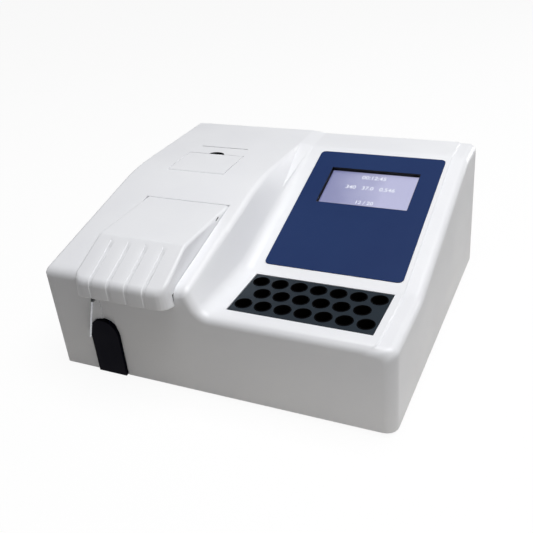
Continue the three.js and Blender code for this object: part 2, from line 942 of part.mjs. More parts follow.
function makeNeedleSleeve() {
  const along = needle.sleeveLength / Math.hypot(...needleRim.map((value, i) => value - needleTip[i]));
  const ends = [needleAt(0), needleAt(along)];
  const outer = hose(ends, needle.sleeveRadius);
  const reach = overrun * along;
  const bore = hose([needleAt(-reach), needleAt(along + reach)], needle.radius + gap / 2);
  return outer.subtract(bore);
}

function makeNeedleHolder() {
  const y1 = front + needle.endBack - gap;
  const y0 = y1 - needle.holderDepth;
  const top = needleEndZ + needle.holderAbove;
  const halfWidth = needle.holderWidth / 2;
  const post = block(needleBend[0] - halfWidth, needleBend[0] + halfWidth, y0, y1, bayFloor, top);
  const bore = rodY(needleBend[0], needleEndZ, y0 - overrun, y1 + overrun, needle.radius + gap,
    segments.small);
  return post.subtract(bore);
}

// The aspirate key: an arched plate that slides into the front, on two stems
const keyX = left + lid.fromLeft + key.fromLidLeft;
const keyBottom = bottom + key.bottomGap;
const keyFace = front - key.proud;
const keyBack = keyFace + key.thickness;
const bracketY = keyBack + key.travel + key.pressGap + key.switchDepth;

function archOutline(margin) {
  const half = key.width / 2 + margin;
  const low = margin > 0 ? bottom - overrun : keyBottom;
  const springZ = bottom + key.height - key.width / 2;
  const outline = [
    [keyX - half, low],
    [keyX + half, low],
  ];
  for (let i = 0; i <= segments.small; i++) {
    const angle = (Math.PI * i) / segments.small;
    outline.push([keyX + half * Math.cos(angle), springZ + half * Math.sin(angle)]);
  }
  return outline;
}

function makeKey() {
  const plate = prismY(archOutline(0), keyFace, keyBack);
  const stems = [key.stemLow, key.stemHigh].map((height) => {
    const z = bottom + height;
    return rodY(keyX, z, keyBack - gap, keyBack + key.stemLength, key.stemRadius, segments.small);
  });
  return joined([plate, ...stems]);
}

function makeKeyBracket() {
  const half = key.width / 2;
  const top = bottom + key.stemHigh + key.bracketMargin;
  const plate = block(keyX - half, keyX + half, bracketY, bracketY + key.bracketThickness, floorTop, top);
  const footTop = floorTop + key.bracketThickness;
  const foot = block(keyX - half, keyX + half, bracketY, bracketY + key.bracketFoot, floorTop, footTop);
  const holes = [key.stemLow, key.stemHigh].map((height) =>
    rodY(keyX, bottom + height, bracketY - overrun, bracketY + key.bracketFoot + overrun,
        key.stemRadius + gap),
  );
  return plate.add(foot).subtract(joined(holes));
}

function makeKeySwitch() {
  const z0 = bottom + key.switchFromBottom;
  const y1 = bracketY;
  return block(keyX - key.switchWidth / 2, keyX + key.switchWidth / 2, y1 - key.switchDepth, y1, z0,
    z0 + key.switchHeight);
}

// The shallow scoop in the front face between the skirt and the key
function keyScoop() {
  const springZ = bottom + key.height - key.width / 2;
  const points = [
    [keyX, springZ],
    [keyX + key.width / 2, springZ],
    [keyX + key.scoopTopWidth, sillZ + overrun],
    [keyX, sillZ + overrun],
  ];
  return prismY(points, front - overrun, front + key.scoopDepth);
}

// The console's slope as a frame of its own: x across, y up the slope, z out of it
const slopeFrame = new THREE.Matrix4()
  .makeRotationX(consoleAngle)
  .setPosition(0, kinkY, deckTop);

function onSlope(solid) {
  return solid.transform(slopeFrame.elements);
}

const membraneLeft = crestX + membrane.fromCrest;
const membraneRight = right - membrane.fromRight;
const slopeLength = Math.hypot(consoleBreakY - kinkY, consoleTop - deckTop);
const membraneTop = slopeLength - membrane.fromBreak;
const windowLeft = membraneLeft + membrane.windowFromLeft;
const windowRight = membraneRight - membrane.windowFromRight;
const windowHigh = membraneTop - membrane.windowFromTop;
const windowLow = windowHigh - membrane.windowHeight;

function membraneOutline(margin) {
  const x0 = membraneLeft - margin;
  const x1 = membraneRight + margin;
  const y0 = membrane.fromKink - margin;
  const y1 = membraneTop + margin;
  const corner = [membrane.cornerRadius + margin, segments.arc];
  return rounded([
    [x0, y0, ...corner],
    [x1, y0, ...corner],
    [x1, y1, ...corner],
    [x0, y1, ...corner],
  ]);
}

function windowBlock(margin, z0, z1) {
  return block(windowLeft - margin, windowRight + margin, windowLow - margin, windowHigh + margin, z0, z1);
}

const slopeWall = housing.wall * Math.cos(consoleAngle);
const glassTop = -slopeWall - gap;
const moduleTop = glassTop - display.glassThickness - gap;
const displayBoardTop = moduleTop - display.moduleThickness - gap;

function makeMembrane() {
  const low = gap - membrane.pocket;
  const sheet = prismZ(membraneOutline(0), low, low + membrane.thickness);
  return onSlope(sheet.subtract(windowBlock(0, low - overrun, overrun)));
}

function makeDisplayBoard() {
  const low = displayBoardTop - display.boardThickness;
  const sheet = windowBlock(display.boardMargin, low, displayBoardTop);
  const x0 = windowLeft - display.boardMargin + display.postInset;
  const x1 = windowRight + display.boardMargin - display.postInset;
  const y0 = windowLow - display.boardMargin + display.postInset;
  const y1 = windowHigh + display.boardMargin - display.postInset;
  const corners = [[x0, y0], [x1, y0], [x1, y1], [x0, y1]];
  const posts = corners.map(([x, y]) => rodZ(x, y, low, -slopeWall - gap, display.postRadius,
    segments.small));
  const middleX = (windowLeft + windowRight) / 2;
  const middleY = (windowLow + windowHigh) / 2;
  const chip = blockAt(middleX, middleY, low - display.chipHeight, display.chipSide, display.chipSide,
    display.chipHeight + display.boardThickness / 2);
  return onSlope(joined([sheet, chip, ...posts]));
}

// The incubator: a dark block of wells set into the deck, on a heater and a bracket
const blockLeft = crestX + incubator.fromCrest;
const blockRight = right - incubator.fromRight;
const wellsSpan = blockRight - blockLeft - incubator.firstWell - incubator.lastWell;
const wellPitch = wellsSpan / (incubator.wellsInLongRow - 1);
const blockFront = front + incubator.fromFront;
const blockTop = deckTop - incubator.recess;

function incubatorOpening() {
  return block(blockLeft, blockRight, blockFront, blockFront + incubator.depth,
    deckTop - housing.wall - overrun, deckTop + overrun);
}

function wellPlaces() {
  const places = [];
  for (let row = 0; row < incubator.rows; row++) {
    const staggered = row === 1;
    const count = staggered ? incubator.wellsInLongRow - 1 : incubator.wellsInLongRow;
    const first = incubator.firstWell + (staggered ? wellPitch / 2 : 0);
    for (let i = 0; i < count; i++) {
      const x = blockLeft + first + i * wellPitch;
      places.push([x, blockFront + incubator.frontRow + row * incubator.rowPitch]);
    }
  }
  return places;
}

function makeIncubatorBlock() {
  const rim = incubator.rim;
  const x1 = blockRight - rim;
  const y1 = blockFront + incubator.depth - rim;
  const metal = block(blockLeft + rim, x1, blockFront + rim, y1, blockTop - incubator.height, blockTop);
  const low = blockTop - incubator.wellDepth;
  const radius = wellPitch * incubator.wellRadiusShare;
  const wells = wellPlaces().map(([x, y]) => rodZ(x, y, low, blockTop + overrun, radius, segments.well));
  return metal.subtract(joined(wells));
}

// The side view of a folded sheet bench: a top, two legs, and a flange inwards at each foot
function archedSheet(x0, x1, top, thickness, foot) {
  const under = top - thickness;
  const flange = floorTop + thickness;
  return [
    [x0, floorTop],
    [x0 + foot, floorTop],
    [x0 + foot, flange],
    [x0 + thickness, flange],
    [x0 + thickness, under],
    [x1 - thickness, under],
    [x1 - thickness, flange],
    [x1 - foot, flange],
    [x1 - foot, floorTop],
    [x1, floorTop],
    [x1, top],
    [x0, top],
  ];
}

const heaterTop = blockTop - incubator.height;
const heaterBottom = heaterTop - incubator.heaterThickness;

function makeHeater() {
  const margin = incubator.heaterMargin;
  return block(blockLeft + margin, blockRight - margin, blockFront + margin,
    blockFront + incubator.depth - margin, heaterBottom, heaterTop);
}

function makeIncubatorBracket() {
  const x0 = blockLeft + incubator.bracketInset;
  const x1 = blockRight - incubator.bracketInset;
  const t = incubator.bracketThickness;
  const foot = incubator.bracketFoot;
  const points = archedSheet(x0, x1, heaterBottom, t, foot);
  const margin = incubator.bracketMargin;
  return prismY(points, blockFront + margin, blockFront + incubator.depth - margin);
}

// The printer's places
const coverLeft = left + printer.coverFromLeft;
const coverRight = coverLeft + printer.coverWidth;
const coverRear = coverFront + printer.coverDepth;
const coverCentre = (coverLeft + coverRight) / 2;
const coverPivotY = coverFront + printer.hingeFromFront;
const coverPivotZ = plateauTop - printer.hingeBelow;
const slotY = coverRear + printer.slotBehindCover;
const cheekLeft = coverLeft - printer.frameOutside;
const cheekRight = coverRight + printer.frameOutside;
const frameFloor = plateauTop - printer.frameDepthBelow;
const frameRear = slotY + printer.frameBehindSlot;
const rollY = coverPivotY + printer.rollFromHinge;
const rollZ = plateauTop - printer.rollBelow;
const platenY = slotY - printer.slotThickness / 2 - gap / 2 - printer.platenRadius;
const platenZ = plateauTop - printer.platenBelow;

function makePrinterCover() {
  const plate = outsideSpace
    .intersect(block(coverLeft, coverRight, coverFront, coverRear, coverPivotZ, plateauTop + overrun))
    .subtract(insideSpace);
  const edgeZ = plateauAt(coverFront);
  const c = printer.coverChamfer;
  const drop = printer.coverChamferDrop;
  const corner = [
    [coverFront - c, edgeZ - drop],
    [coverFront - c, edgeZ + c],
    [coverFront + drop, edgeZ + c],
  ];
  const chamfer = prismX(corner, coverLeft - overrun, coverRight + overrun);
  const parts = [-1, 1].map((side) => {
    const fromRight = coverRight - printer.knuckleInset - printer.knuckleWidth;
    const x = side < 0 ? coverLeft + printer.knuckleInset : fromRight;
    const reach = printer.knuckleReach;
    const ceiling = plateauTop - housing.wall + gap / 2;
    const points = [
      [coverPivotY - reach, ceiling],
      [coverPivotY + reach, ceiling],
      [coverPivotY + printer.knuckleRadius, coverPivotZ],
      [coverPivotY, coverPivotZ - printer.knuckleRadius],
      [coverPivotY - printer.knuckleRadius, coverPivotZ],
    ];
    const x1 = x + printer.knuckleWidth;
    const web = prismX(points, x, x1).add(rodX(coverPivotY, coverPivotZ, x, x1, printer.knuckleRadius));
    return web.subtract(rodX(coverPivotY, coverPivotZ, x - overrun, x1 + overrun, printer.pinRadius + gap));
  });
  return joined([plate.subtract(chamfer), ...parts]);
}

function makeCoverPin(side) {
  const outer = side < 0 ? cheekLeft + gap : cheekRight - gap;
  const inset = printer.knuckleInset + printer.knuckleWidth + gap;
  const inner = side < 0 ? coverLeft + inset : coverRight - inset;
  return rodX(coverPivotY, coverPivotZ, Math.min(outer, inner), Math.max(outer, inner),
      printer.pinRadius, segments.small);
}

function makePrinterFrame() {
  const wall = printer.frameWall;
  const frontInner = coverFront - printer.coverSeam - gap;
  const outer = block(cheekLeft, cheekRight, frontInner - wall, frameRear + wall, frameFloor, plateauTop);
  const inner = block(cheekLeft + wall, cheekRight - wall, frontInner, frameRear, frameFloor + wall,
    plateauTop + overrun);
  const tub = outer.subtract(inner).intersect(seatSpace);
  const rollEnd = printer.rollWidth / 2 - printer.spindleReach;
  const spindles = [
    rodX(rollY, rollZ, cheekLeft + wall / 2, coverCentre - rollEnd, printer.spindleRadius),
    rodX(rollY, rollZ, coverCentre + rollEnd, cheekRight - wall / 2, printer.spindleRadius),
  ];
  const holes = [
    rodX(platenY, platenZ, cheekLeft - overrun, cheekRight + overrun, printer.platenShaft + gap),
    rodX(coverPivotY, coverPivotZ, cheekLeft - overrun, cheekRight + overrun, printer.pinRadius + gap),
  ];
  return joined([tub, ...spindles]).subtract(joined(holes));
}

function makePaperRoll() {
  const half = printer.rollWidth / 2;
  const roll = rodX(rollY, rollZ, coverCentre - half, coverCentre + half, printer.rollRadius, segments.fine);
  const core = rodX(rollY, rollZ, coverCentre - half - overrun, coverCentre + half + overrun,
    printer.coreRadius);
  return roll.subtract(core);
}

const printerMotorEnd = cheekLeft - gap;

function makePlaten() {
  const half = printer.platenLength / 2;
  const rubber = rodX(platenY, platenZ, coverCentre - half, coverCentre + half, printer.platenRadius);
  const shaftLeft = printerMotorEnd - printer.shaftInMotor;
  const shaft = rodX(platenY, platenZ, shaftLeft, cheekRight + gap, printer.platenShaft, segments.small);
  return rubber.add(shaft);
}

function makePrinterMotor() {
  const x1 = printerMotorEnd;
  const can = rodX(platenY, platenZ, x1 - printer.motorLength, x1, printer.motorRadius);
  const hole = rodX(platenY, platenZ, x1 - printer.shaftInMotor - gap, x1 + overrun,
    printer.platenShaft + gap);
  return can.subtract(hole);
}

function makePrintHead() {
  const half = printer.headLength / 2;
  const y1 = frameRear - gap;
  const top = plateauTop - printer.headBelow;
  return block(coverCentre - half, coverCentre + half, y1 - printer.headThickness, y1,
      top - printer.headHeight, top);
}

function fingerScoop() {
  const points = [];
  for (let i = 0; i <= segments.small; i++) {
    const angle = (Math.PI * i) / segments.small;
    points.push([
      coverCentre + printer.scoopHalfWidth * Math.cos(angle),
      coverRear + printer.scoopDepth * Math.sin(angle),
    ]);
  }
  points.push([coverCentre - printer.scoopHalfWidth, coverRear - overrun]);
  points.push([coverCentre + printer.scoopHalfWidth, coverRear - overrun]);
  return prismZ(points, coverPivotZ, plateauTop + overrun);
}

function printerOpenings() {
  const door = block(coverLeft - printer.coverGap, coverRight + printer.coverGap,
    coverFront - printer.coverSeam,
    coverRear + printer.coverGap, coverPivotZ, plateauTop + overrun);
  const slotHalf = printer.slotWidth / 2;
  const slot = block(coverCentre - slotHalf, coverCentre + slotHalf, slotY - printer.slotThickness / 2,
    slotY + printer.slotThickness / 2, coverPivotZ, plateauTop + overrun);
  return joined([door, slot, fingerScoop()]);
}

// The upper housing, with all its openings
function makeHousing() {
  const shell = outsideSpace.subtract(insideSpace);
  const needleNotch = block(needleRim[0] - needle.notchWidth / 2, needleRim[0] + needle.notchWidth / 2,
    front - overrun, front + housing.wall + overrun, bottom + needle.notchFloor, sillZ + overrun);
  const keyOpening = prismY(archOutline(key.side), front - overrun, front + housing.wall + overrun);
  const pocket = prismZ(membraneOutline(membrane.pocketMargin), -membrane.pocket, overrun);
  const glassHole = windowBlock(membrane.pocketMargin, -slopeWall - overrun, overrun);
  return shell
    .subtract(bayOpening())
    .subtract(needleNotch)
    .subtract(keyScoop())
    .subtract(keyOpening)
    .subtract(incubatorOpening())
    .subtract(onSlope(pocket.add(glassHole)))
    .subtract(printerOpenings());
}

// The tray under the lid. It stands on legs and closes the bay from below.
const trayInner = lidHalfWidth(plateauAt(front)) + lid.sideGap + gap;
const trayOuter = trayInner + bay.wall;
const trayFront = front + housing.wall + gap;
const trayRear = lidRear + lid.seam + bay.wall;
const pumpX = lidCentre + pump.fromBayCentre;
const pumpY = front + pump.fromFront;
const opticsX = lidCentre + optics.fromBayCentre;
const opticsZ = bottom + optics.height;
const drainX = pumpX + pump.tubeCentreRadius;
const drainY = lidPivotY - lidHinge.footRear + pump.drainBehindFoot;

function makeTray() {
  const under = bayFloor - bay.wall;
  const outer = block(lidCentre - trayOuter, lidCentre + trayOuter, trayFront, trayRear, under, plateauTop);
  const inner = block(lidCentre - trayInner, lidCentre + trayInner, trayFront + bay.wall, trayRear - bay.wall,
    bayFloor, plateauTop + overrun);
  const legPlaces = [
    [lidCentre - trayOuter + bay.legInset, trayRear - bay.legInset],
    [lidCentre + trayOuter - bay.legInset, trayRear - bay.legInset],
    [lidCentre - trayOuter + bay.legInsetFront, trayFront + bay.legInset],
    [lidCentre + trayOuter - bay.legInset, trayFront + bay.legInset],
  ];
  const legs = legPlaces.map(([x, y]) => rodZ(x, y, floorTop, under + bay.wall / 2, bay.legRadius,
    segments.small));
  const notchHalf = needle.notchWidth;
  const needleGap = block(needleBend[0] - notchHalf, needleBend[0] + notchHalf, trayFront - overrun,
    trayFront + bay.wall + overrun, bottom + needle.bendHeight - overrun, plateauTop);
  const shaftHole = rodZ(pumpX, pumpY, under - overrun, bayFloor + overrun, pump.shaftRadius + looseGap);
  const drain = rodZ(drainX, drainY, under - overrun, bayFloor + overrun, pump.tubeRadius + looseGap);
  const beam = rodY(opticsX, opticsZ, trayRear - bay.wall - overrun, trayRear + overrun, optics.tubeBore);
  const shell = outer.subtract(inner).intersect(seatSpace);
  return joined([shell, ...legs]).subtract(joined([needleGap, shaftHole, drain, beam]));
}

// The peristaltic pump. Its tube lies in a horseshoe race, and three rollers run along it.
const raceRadius = pump.tubeCentreRadius + pump.tubeRadius + gap;
const rollerCircle = pump.tubeCentreRadius - pump.tubeRadius - gap - pump.rollerRadius;
const pumpFloor = bayFloor + pump.floor;
const pumpTop = bayFloor + pump.height;
const pumpTubeZ = bayFloor + pump.tubeHeight;
const discLow = pumpFloor + gap;
const rollerLow = discLow + pump.discThickness + gap;
const capLow = pumpTop - pump.discThickness / 2;
const rollerHigh = capLow - gap;

function makePumpBody() {
  const half = pump.side / 2;
  const body = block(pumpX - half, pumpX + half, pumpY - half, pumpY + half, bayFloor, pumpTop);
  const race = rodZ(pumpX, pumpY, pumpFloor, pumpTop + overrun, raceRadius, segments.fine);
  const width = pump.tubeRadius + gap;
  const lanes = [-1, 1].map((side) => {
    const x = pumpX + side * pump.tubeCentreRadius;
    return block(x - width, x + width, pumpY, pumpY + half + overrun, pumpTubeZ - width, pumpTop + overrun);
  });
  const hole = rodZ(pumpX, pumpY, bayFloor - overrun, pumpFloor + overrun, pump.shaftRadius + gap,
    segments.small);
  return body.subtract(joined([race, ...lanes, hole]));
}

function rollerPlaces() {
  const places = [];
  for (let i = 0; i < pump.rollers; i++) {
    const angle = Math.PI / 2 + (2 * Math.PI * i) / pump.rollers;
    places.push([pumpX + rollerCircle * Math.cos(angle), pumpY + rollerCircle * Math.sin(angle)]);
  }
  return places;
}

function makePumpRotor() {
  const low = rodZ(pumpX, pumpY, discLow, discLow + pump.discThickness, pump.discRadius);
  const cap = rodZ(pumpX, pumpY, capLow, capLow + pump.discThickness, pump.discRadius);
  const hub = rodZ(pumpX, pumpY, discLow, capLow + pump.discThickness, pump.hubRadius);
  const knobTop = capLow + pump.discThickness + pump.knobHeight;
  const knob = rodZ(pumpX, pumpY, capLow, knobTop, pump.knobRadius, segments.tiny);
  const shaftLow = bayFloor - bay.wall - pump.shaftInMotor;
  const shaft = rodZ(pumpX, pumpY, shaftLow, discLow + gap, pump.shaftRadius, segments.small);
  const pins = rollerPlaces().map(([x, y]) =>
    rodZ(x, y, discLow + gap, capLow + gap, pump.rollerPinRadius, segments.tiny),
  );
  return joined([low, cap, hub, knob, shaft, ...pins]);
}

function makeRoller([x, y]) {
  const body = rodZ(x, y, rollerLow, rollerHigh, pump.rollerRadius, segments.well);
  return body.subtract(rodZ(x, y, rollerLow - overrun, rollerHigh + overrun, pump.rollerPinRadius + gap,
      segments.small));
}

function makePumpMotor() {
  const top = bayFloor - bay.wall;
  const can = rodZ(pumpX, pumpY, top - pump.motorHeight, top, pump.motorRadius);
  const hole = rodZ(pumpX, pumpY, top - pump.shaftInMotor - gap, top + overrun, pump.shaftRadius + gap,
    segments.small);
  return can.subtract(hole);
}

// The flow cell in its holder, with the light detector in front and spigots for the tubes
const holderRear = trayRear - bay.wall - optics.holderFromRear;
const holderFront = holderRear - optics.holderDepth;
const holderTop = bayFloor + optics.holderHeight;
const cellY = (holderFront + holderRear) / 2;
const spigotZ = bayFloor + optics.spigotHeight;
const spigotEnd = optics.holderWidth / 2 + optics.spigotLength;

function makeCellHolder() {
  const body = block(opticsX - optics.holderWidth / 2, opticsX + optics.holderWidth / 2, holderFront,
    holderRear,
    bayFloor, holderTop);
  const spigots = rodX(cellY, spigotZ, opticsX - spigotEnd, opticsX + spigotEnd, optics.spigotRadius,
    segments.small);
  const side = optics.cellSide / 2 + gap;
  const pocket = block(opticsX - side, opticsX + side, cellY - side, cellY + side,
    bayFloor + optics.cellFloor,
    holderTop + overrun);
  const beam = rodY(opticsX, opticsZ, holderFront - overrun, holderRear + overrun, optics.beamRadius,
    segments.small);
  return body.add(spigots).subtract(pocket.add(beam));
}

function makeFlowCell() {
  const low = bayFloor + optics.cellFloor + gap;
  const high = holderTop + optics.cellProud;
  return blockAt(opticsX, cellY, low, optics.cellSide, optics.cellSide, high - low);
}

function makeDetector() {
  const half = optics.holderWidth / 2 - optics.boardMargin;
  const y0 = holderFront - optics.boardThickness;
  const sheet = block(opticsX - half, opticsX + half, y0, holderFront, bayFloor,
    holderTop - optics.boardMargin);
  const diode = rodY(opticsX, opticsZ, y0 + gap, holderFront + optics.diodeLength, optics.diodeRadius,
    segments.small);
  const plug = blockAt(opticsX, y0 - optics.plugDepth / 2 + gap / 2, bayFloor + optics.boardMargin,
    optics.plugWidth,
    optics.plugDepth + gap, optics.plugHeight);
  return joined([sheet, diode, plug]);
}

// Lens tube, filter wheel and lamp stand in line behind the tray, on the optics bench
const benchTop = bottom + optics.benchHeight;
const lensFront = trayRear + gap;
const lensRear = lensFront + optics.tubeLength;
const wheelFront = lensRear + optics.wheelGap;
const wheelRear = wheelFront + optics.wheelThickness;
const lampFront = wheelRear + optics.wheelGap;
const lampRear = lampFront + optics.lampDepth;
const wheelX = opticsX + optics.filterCircle;

function makeBench() {
  const x0 = opticsX - optics.benchMargin;
  const x1 = wheelX + optics.wheelRadius - optics.benchInset;
  return prismY(archedSheet(x0, x1, benchTop, optics.benchThickness, optics.benchFoot), lensFront, lampRear);
}

function makeLensTube() {
  const tube = rodY(opticsX, opticsZ, lensFront, lensRear, optics.tubeRadius);
  const middle = (lensFront + lensRear) / 2;
  const foot = blockAt(opticsX, middle, benchTop, optics.tubeFoot, optics.tubeFoot, opticsZ - benchTop);
  const bore = rodY(opticsX, opticsZ, lensFront - overrun, lensRear + overrun, optics.tubeBore,
    segments.small);
  return tube.add(foot).subtract(bore);
}

function makeFilterWheel() {
  const disc = rodY(wheelX, opticsZ, wheelFront, wheelRear, optics.wheelRadius, segments.fine);
  const hub = rodY(wheelX, opticsZ, wheelFront - optics.wheelGap, wheelRear, optics.wheelHub);
  const shaftEnd = lampFront + optics.shaftInMotor;
  const shaft = rodY(wheelX, opticsZ, wheelRear - gap, shaftEnd, optics.wheelShaft, segments.small);
  const holes = [];
  for (let i = 0; i < optics.filters; i++) {
    const angle = Math.PI + (2 * Math.PI * i) / optics.filters;
    const x = wheelX + optics.filterCircle * Math.cos(angle);
    const z = opticsZ + optics.filterCircle * Math.sin(angle);
    holes.push(rodY(x, z, wheelFront - overrun, wheelRear + overrun, optics.filterRadius, segments.small));
  }
  return joined([disc, hub, shaft]).subtract(joined(holes));
}

function makeFilterMotor() {
  const rearEnd = lampFront + optics.motorLength;
  const can = rodY(wheelX, opticsZ, lampFront, rearEnd, optics.motorRadius);
  const foot = block(wheelX - optics.motorFoot / 2, wheelX + optics.motorFoot / 2, lampFront, rearEnd,
    benchTop, opticsZ);
  const hole = rodY(wheelX, opticsZ, lampFront - overrun, lampFront + optics.shaftInMotor + gap,
    optics.wheelShaft + gap, segments.small);
  return can.add(foot).subtract(hole);
}

function makeLampHousing() {
  const half = optics.lampWidth / 2;
  const wall = optics.lampWall;
  const top = benchTop + optics.lampHeight;
  const outer = block(opticsX - half, opticsX + half, lampFront, lampRear, benchTop, top);
  const inner = block(opticsX - half + wall, opticsX + half - wall, lampFront + wall, lampRear + overrun,
    benchTop + wall, top - wall);
  const beam = rodY(opticsX, opticsZ, lampFront - overrun, lampFront + wall + overrun, optics.tubeBore,
    segments.small);
  return outer.subtract(inner.add(beam));
}

function makeLamp() {
  const y = lampFront + optics.lampWall + gap + optics.lampBaseWidth / 2;
  const low = benchTop + optics.lampWall;
  const foot = blockAt(opticsX, y, low, optics.lampBaseWidth, optics.lampBaseWidth, optics.lampBaseHeight);
  const bulbLow = optics.lampBaseHeight - gap;
  const r = optics.bulbRadius;
  const domeStart = bulbLow + optics.bulbHeight - r;
  const outline = [[0, bulbLow], [r, bulbLow]];
  for (let i = 0; i <= segments.arc; i++) {
    const angle = ((Math.PI / 2) * i) / segments.arc;
    outline.push([i === segments.arc ? 0 : r * Math.cos(angle), domeStart + r * Math.sin(angle)]);
  }
  return foot.add(turnedZ(outline, opticsX, y, low, segments.small));
}

// Tubes: needle to flow cell, flow cell through the pump, and down to the waste port
const panelFace = back - rear.recess;
const panelInner = panelFace - rear.panelThickness;
const fanX = right - rear.fanFromRight;
const fanZ = bottom + rear.fanHeight;
const inletX = left + rear.inletFromLeft;
const inletZ = bottom + rear.inletHeight;
const rockerPivotY = panelFace + rear.flangeThickness - rear.rockerDepth / 2;
const portX = rear.portFromMiddle;
const portZ = bottom + rear.portHeight;
const wasteX = (inletX + rear.inletWidth / 2 + portX - rear.portWidth / 2) / 2;
const wasteZ = bottom + rear.wasteHeight;
const drainEndZ = bayFloor - bay.wall - hoses.straight;

function makeSampleTube() {
  const start = [needleBend[0], front + needle.endBack + gap, needleEndZ];
  const end = [opticsX - spigotEnd - gap, cellY, spigotZ];
  const points = [
    start,
    [start[0], start[1] + hoses.straight, start[2]],
    [start[0] + hoses.straight, end[1] - hoses.run, end[2]],
    [end[0] - hoses.straight, end[1], end[2]],
    end,
  ];
  return hose(points, pump.tubeRadius, hoses.turnIn);
}

function makePumpTube() {
  const r = pump.tubeCentreRadius;
  const start = [opticsX + spigotEnd + gap, cellY, spigotZ];
  const mouthY = pumpY + pump.side / 2 + hoses.straight;
  const points = [
    start,
    [start[0] + hoses.straight, start[1], start[2]],
    [start[0] + hoses.straight, mouthY + hoses.straight, (start[2] + pumpTubeZ) / 2],
    [pumpX - r, mouthY, pumpTubeZ],
  ];
  const turns = 2 * segments.tiny;
  for (let i = 0; i <= turns; i++) {
    const angle = Math.PI + (Math.PI * i) / turns;
    points.push([pumpX + r * Math.cos(angle), pumpY + r * Math.sin(angle), pumpTubeZ]);
  }
  points.push([drainX, drainY, pumpTubeZ]);
  points.push([drainX, drainY, drainEndZ]);
  return hose(routed(points.slice(0, 4).concat([points[4]]), hoses.turnIn)
    .map((p) => p.toArray())
    .concat(points.slice(5, -2))
    .concat(routed(points.slice(-3), hoses.turnIn).slice(1).map((p) => p.toArray())), pump.tubeRadius);
}

function makeWasteTube() {
  const start = [drainX, drainY, drainEndZ - gap];
  const end = [wasteX, panelInner - rear.wasteTail - gap, wasteZ];
  const points = [
    start,
    [start[0], start[1], end[2]],
    [start[0], end[1] - hoses.run, end[2]],
    [end[0], end[1] - hoses.straight, end[2]],
    end,
  ];
  return hose(points, pump.tubeRadius, hoses.wideTurn);
}

// Rear panel, with what it carries
function makeRearPanel() {
  const inset = housing.wall + gap;
  const ringAt = (y) => housingSection(y, { inset, end: back + overrun, under: floorTop });
  const plate = loft([ringAt(panelInner), ringAt(panelFace)], ([x, , z]) => new THREE.Vector2(x, z));
  const cuts = [];
  for (let i = 0; i < rear.slots; i++) {
    const dz = (i - (rear.slots - 1) / 2) * rear.slotPitch;
    const half = Math.sqrt(rear.fanBore ** 2 - dz ** 2) - rear.slotHeight / 2;
    const z = fanZ + dz - rear.slotHeight / 2;
    cuts.push(block(fanX - half, fanX + half, panelInner - overrun, panelFace + overrun, z,
      z + rear.slotHeight));
  }
  const bodyHalf = rear.inletWidth / 2 - rear.bodyMargin + gap;
  const bodyTall = rear.inletTall / 2 - rear.bodyMargin + gap;
  cuts.push(block(inletX - bodyHalf, inletX + bodyHalf, panelInner - overrun, panelFace + overrun,
    inletZ - bodyTall, inletZ + bodyTall));
  const shellHalf = rear.portShellWidth / 2 + gap;
  const shellTall = rear.portShellTall / 2 + gap;
  cuts.push(block(portX - shellHalf, portX + shellHalf, panelInner - overrun, panelFace + overrun,
    portZ - shellTall, portZ + shellTall));
  cuts.push(rodY(wasteX, wasteZ, panelInner - overrun, panelFace + overrun, rear.wasteBarb + gap));
  return plate.subtract(joined(cuts));
}

function makeFanFrame() {
  const half = rear.fanSide / 2;
  const y0 = panelInner - rear.fanDepth;
  const frame = block(fanX - half, fanX + half, y0, panelInner, fanZ - half, fanZ + half);
  const bore = rodY(fanX, fanZ, y0 - overrun, panelInner + overrun, rear.fanBore, segments.fine);
  const cupY = panelInner - rear.fanCup;
  const cup = rodY(fanX, fanZ, cupY, panelInner, rear.fanHub);
  const strut = rear.strutWidth / 2;
  const struts = [
    block(fanX - half, fanX + half, cupY, panelInner, fanZ - strut, fanZ + strut),
    block(fanX - strut, fanX + strut, cupY, panelInner, fanZ - half, fanZ + half),
  ];
  const bearing = rodY(fanX, fanZ, cupY - overrun, panelInner + overrun, rear.rockerShaft + gap,
    segments.small);
  return joined([frame.subtract(bore), cup, ...struts]).subtract(bearing);
}

function makeFanRotor() {
  const y0 = panelInner - rear.fanDepth + gap;
  const y1 = panelInner - rear.fanCup - gap;
  const hub = rodY(fanX, fanZ, y0, y1, rear.fanHub);
  const shaft = rodY(fanX, fanZ, y1 - gap, panelInner - gap, rear.rockerShaft, segments.tiny);
  const blades = [];
  const middle = (y0 + y1) / 2;
  for (let i = 0; i < rear.fanBlades; i++) {
    const geometry = new THREE.BoxGeometry(rear.bladeChord, rear.bladeThickness, rear.bladeLength);
    geometry.rotateZ(THREE.MathUtils.degToRad(rear.bladePitchDegrees));
    geometry.translate(0, 0, rear.fanHub - gap + rear.bladeLength / 2);
    geometry.rotateY((2 * Math.PI * i) / rear.fanBlades);
    geometry.translate(fanX, middle, fanZ);
    blades.push(solidOf(geometry));
  }
  return joined([hub, shaft, ...blades]);
}

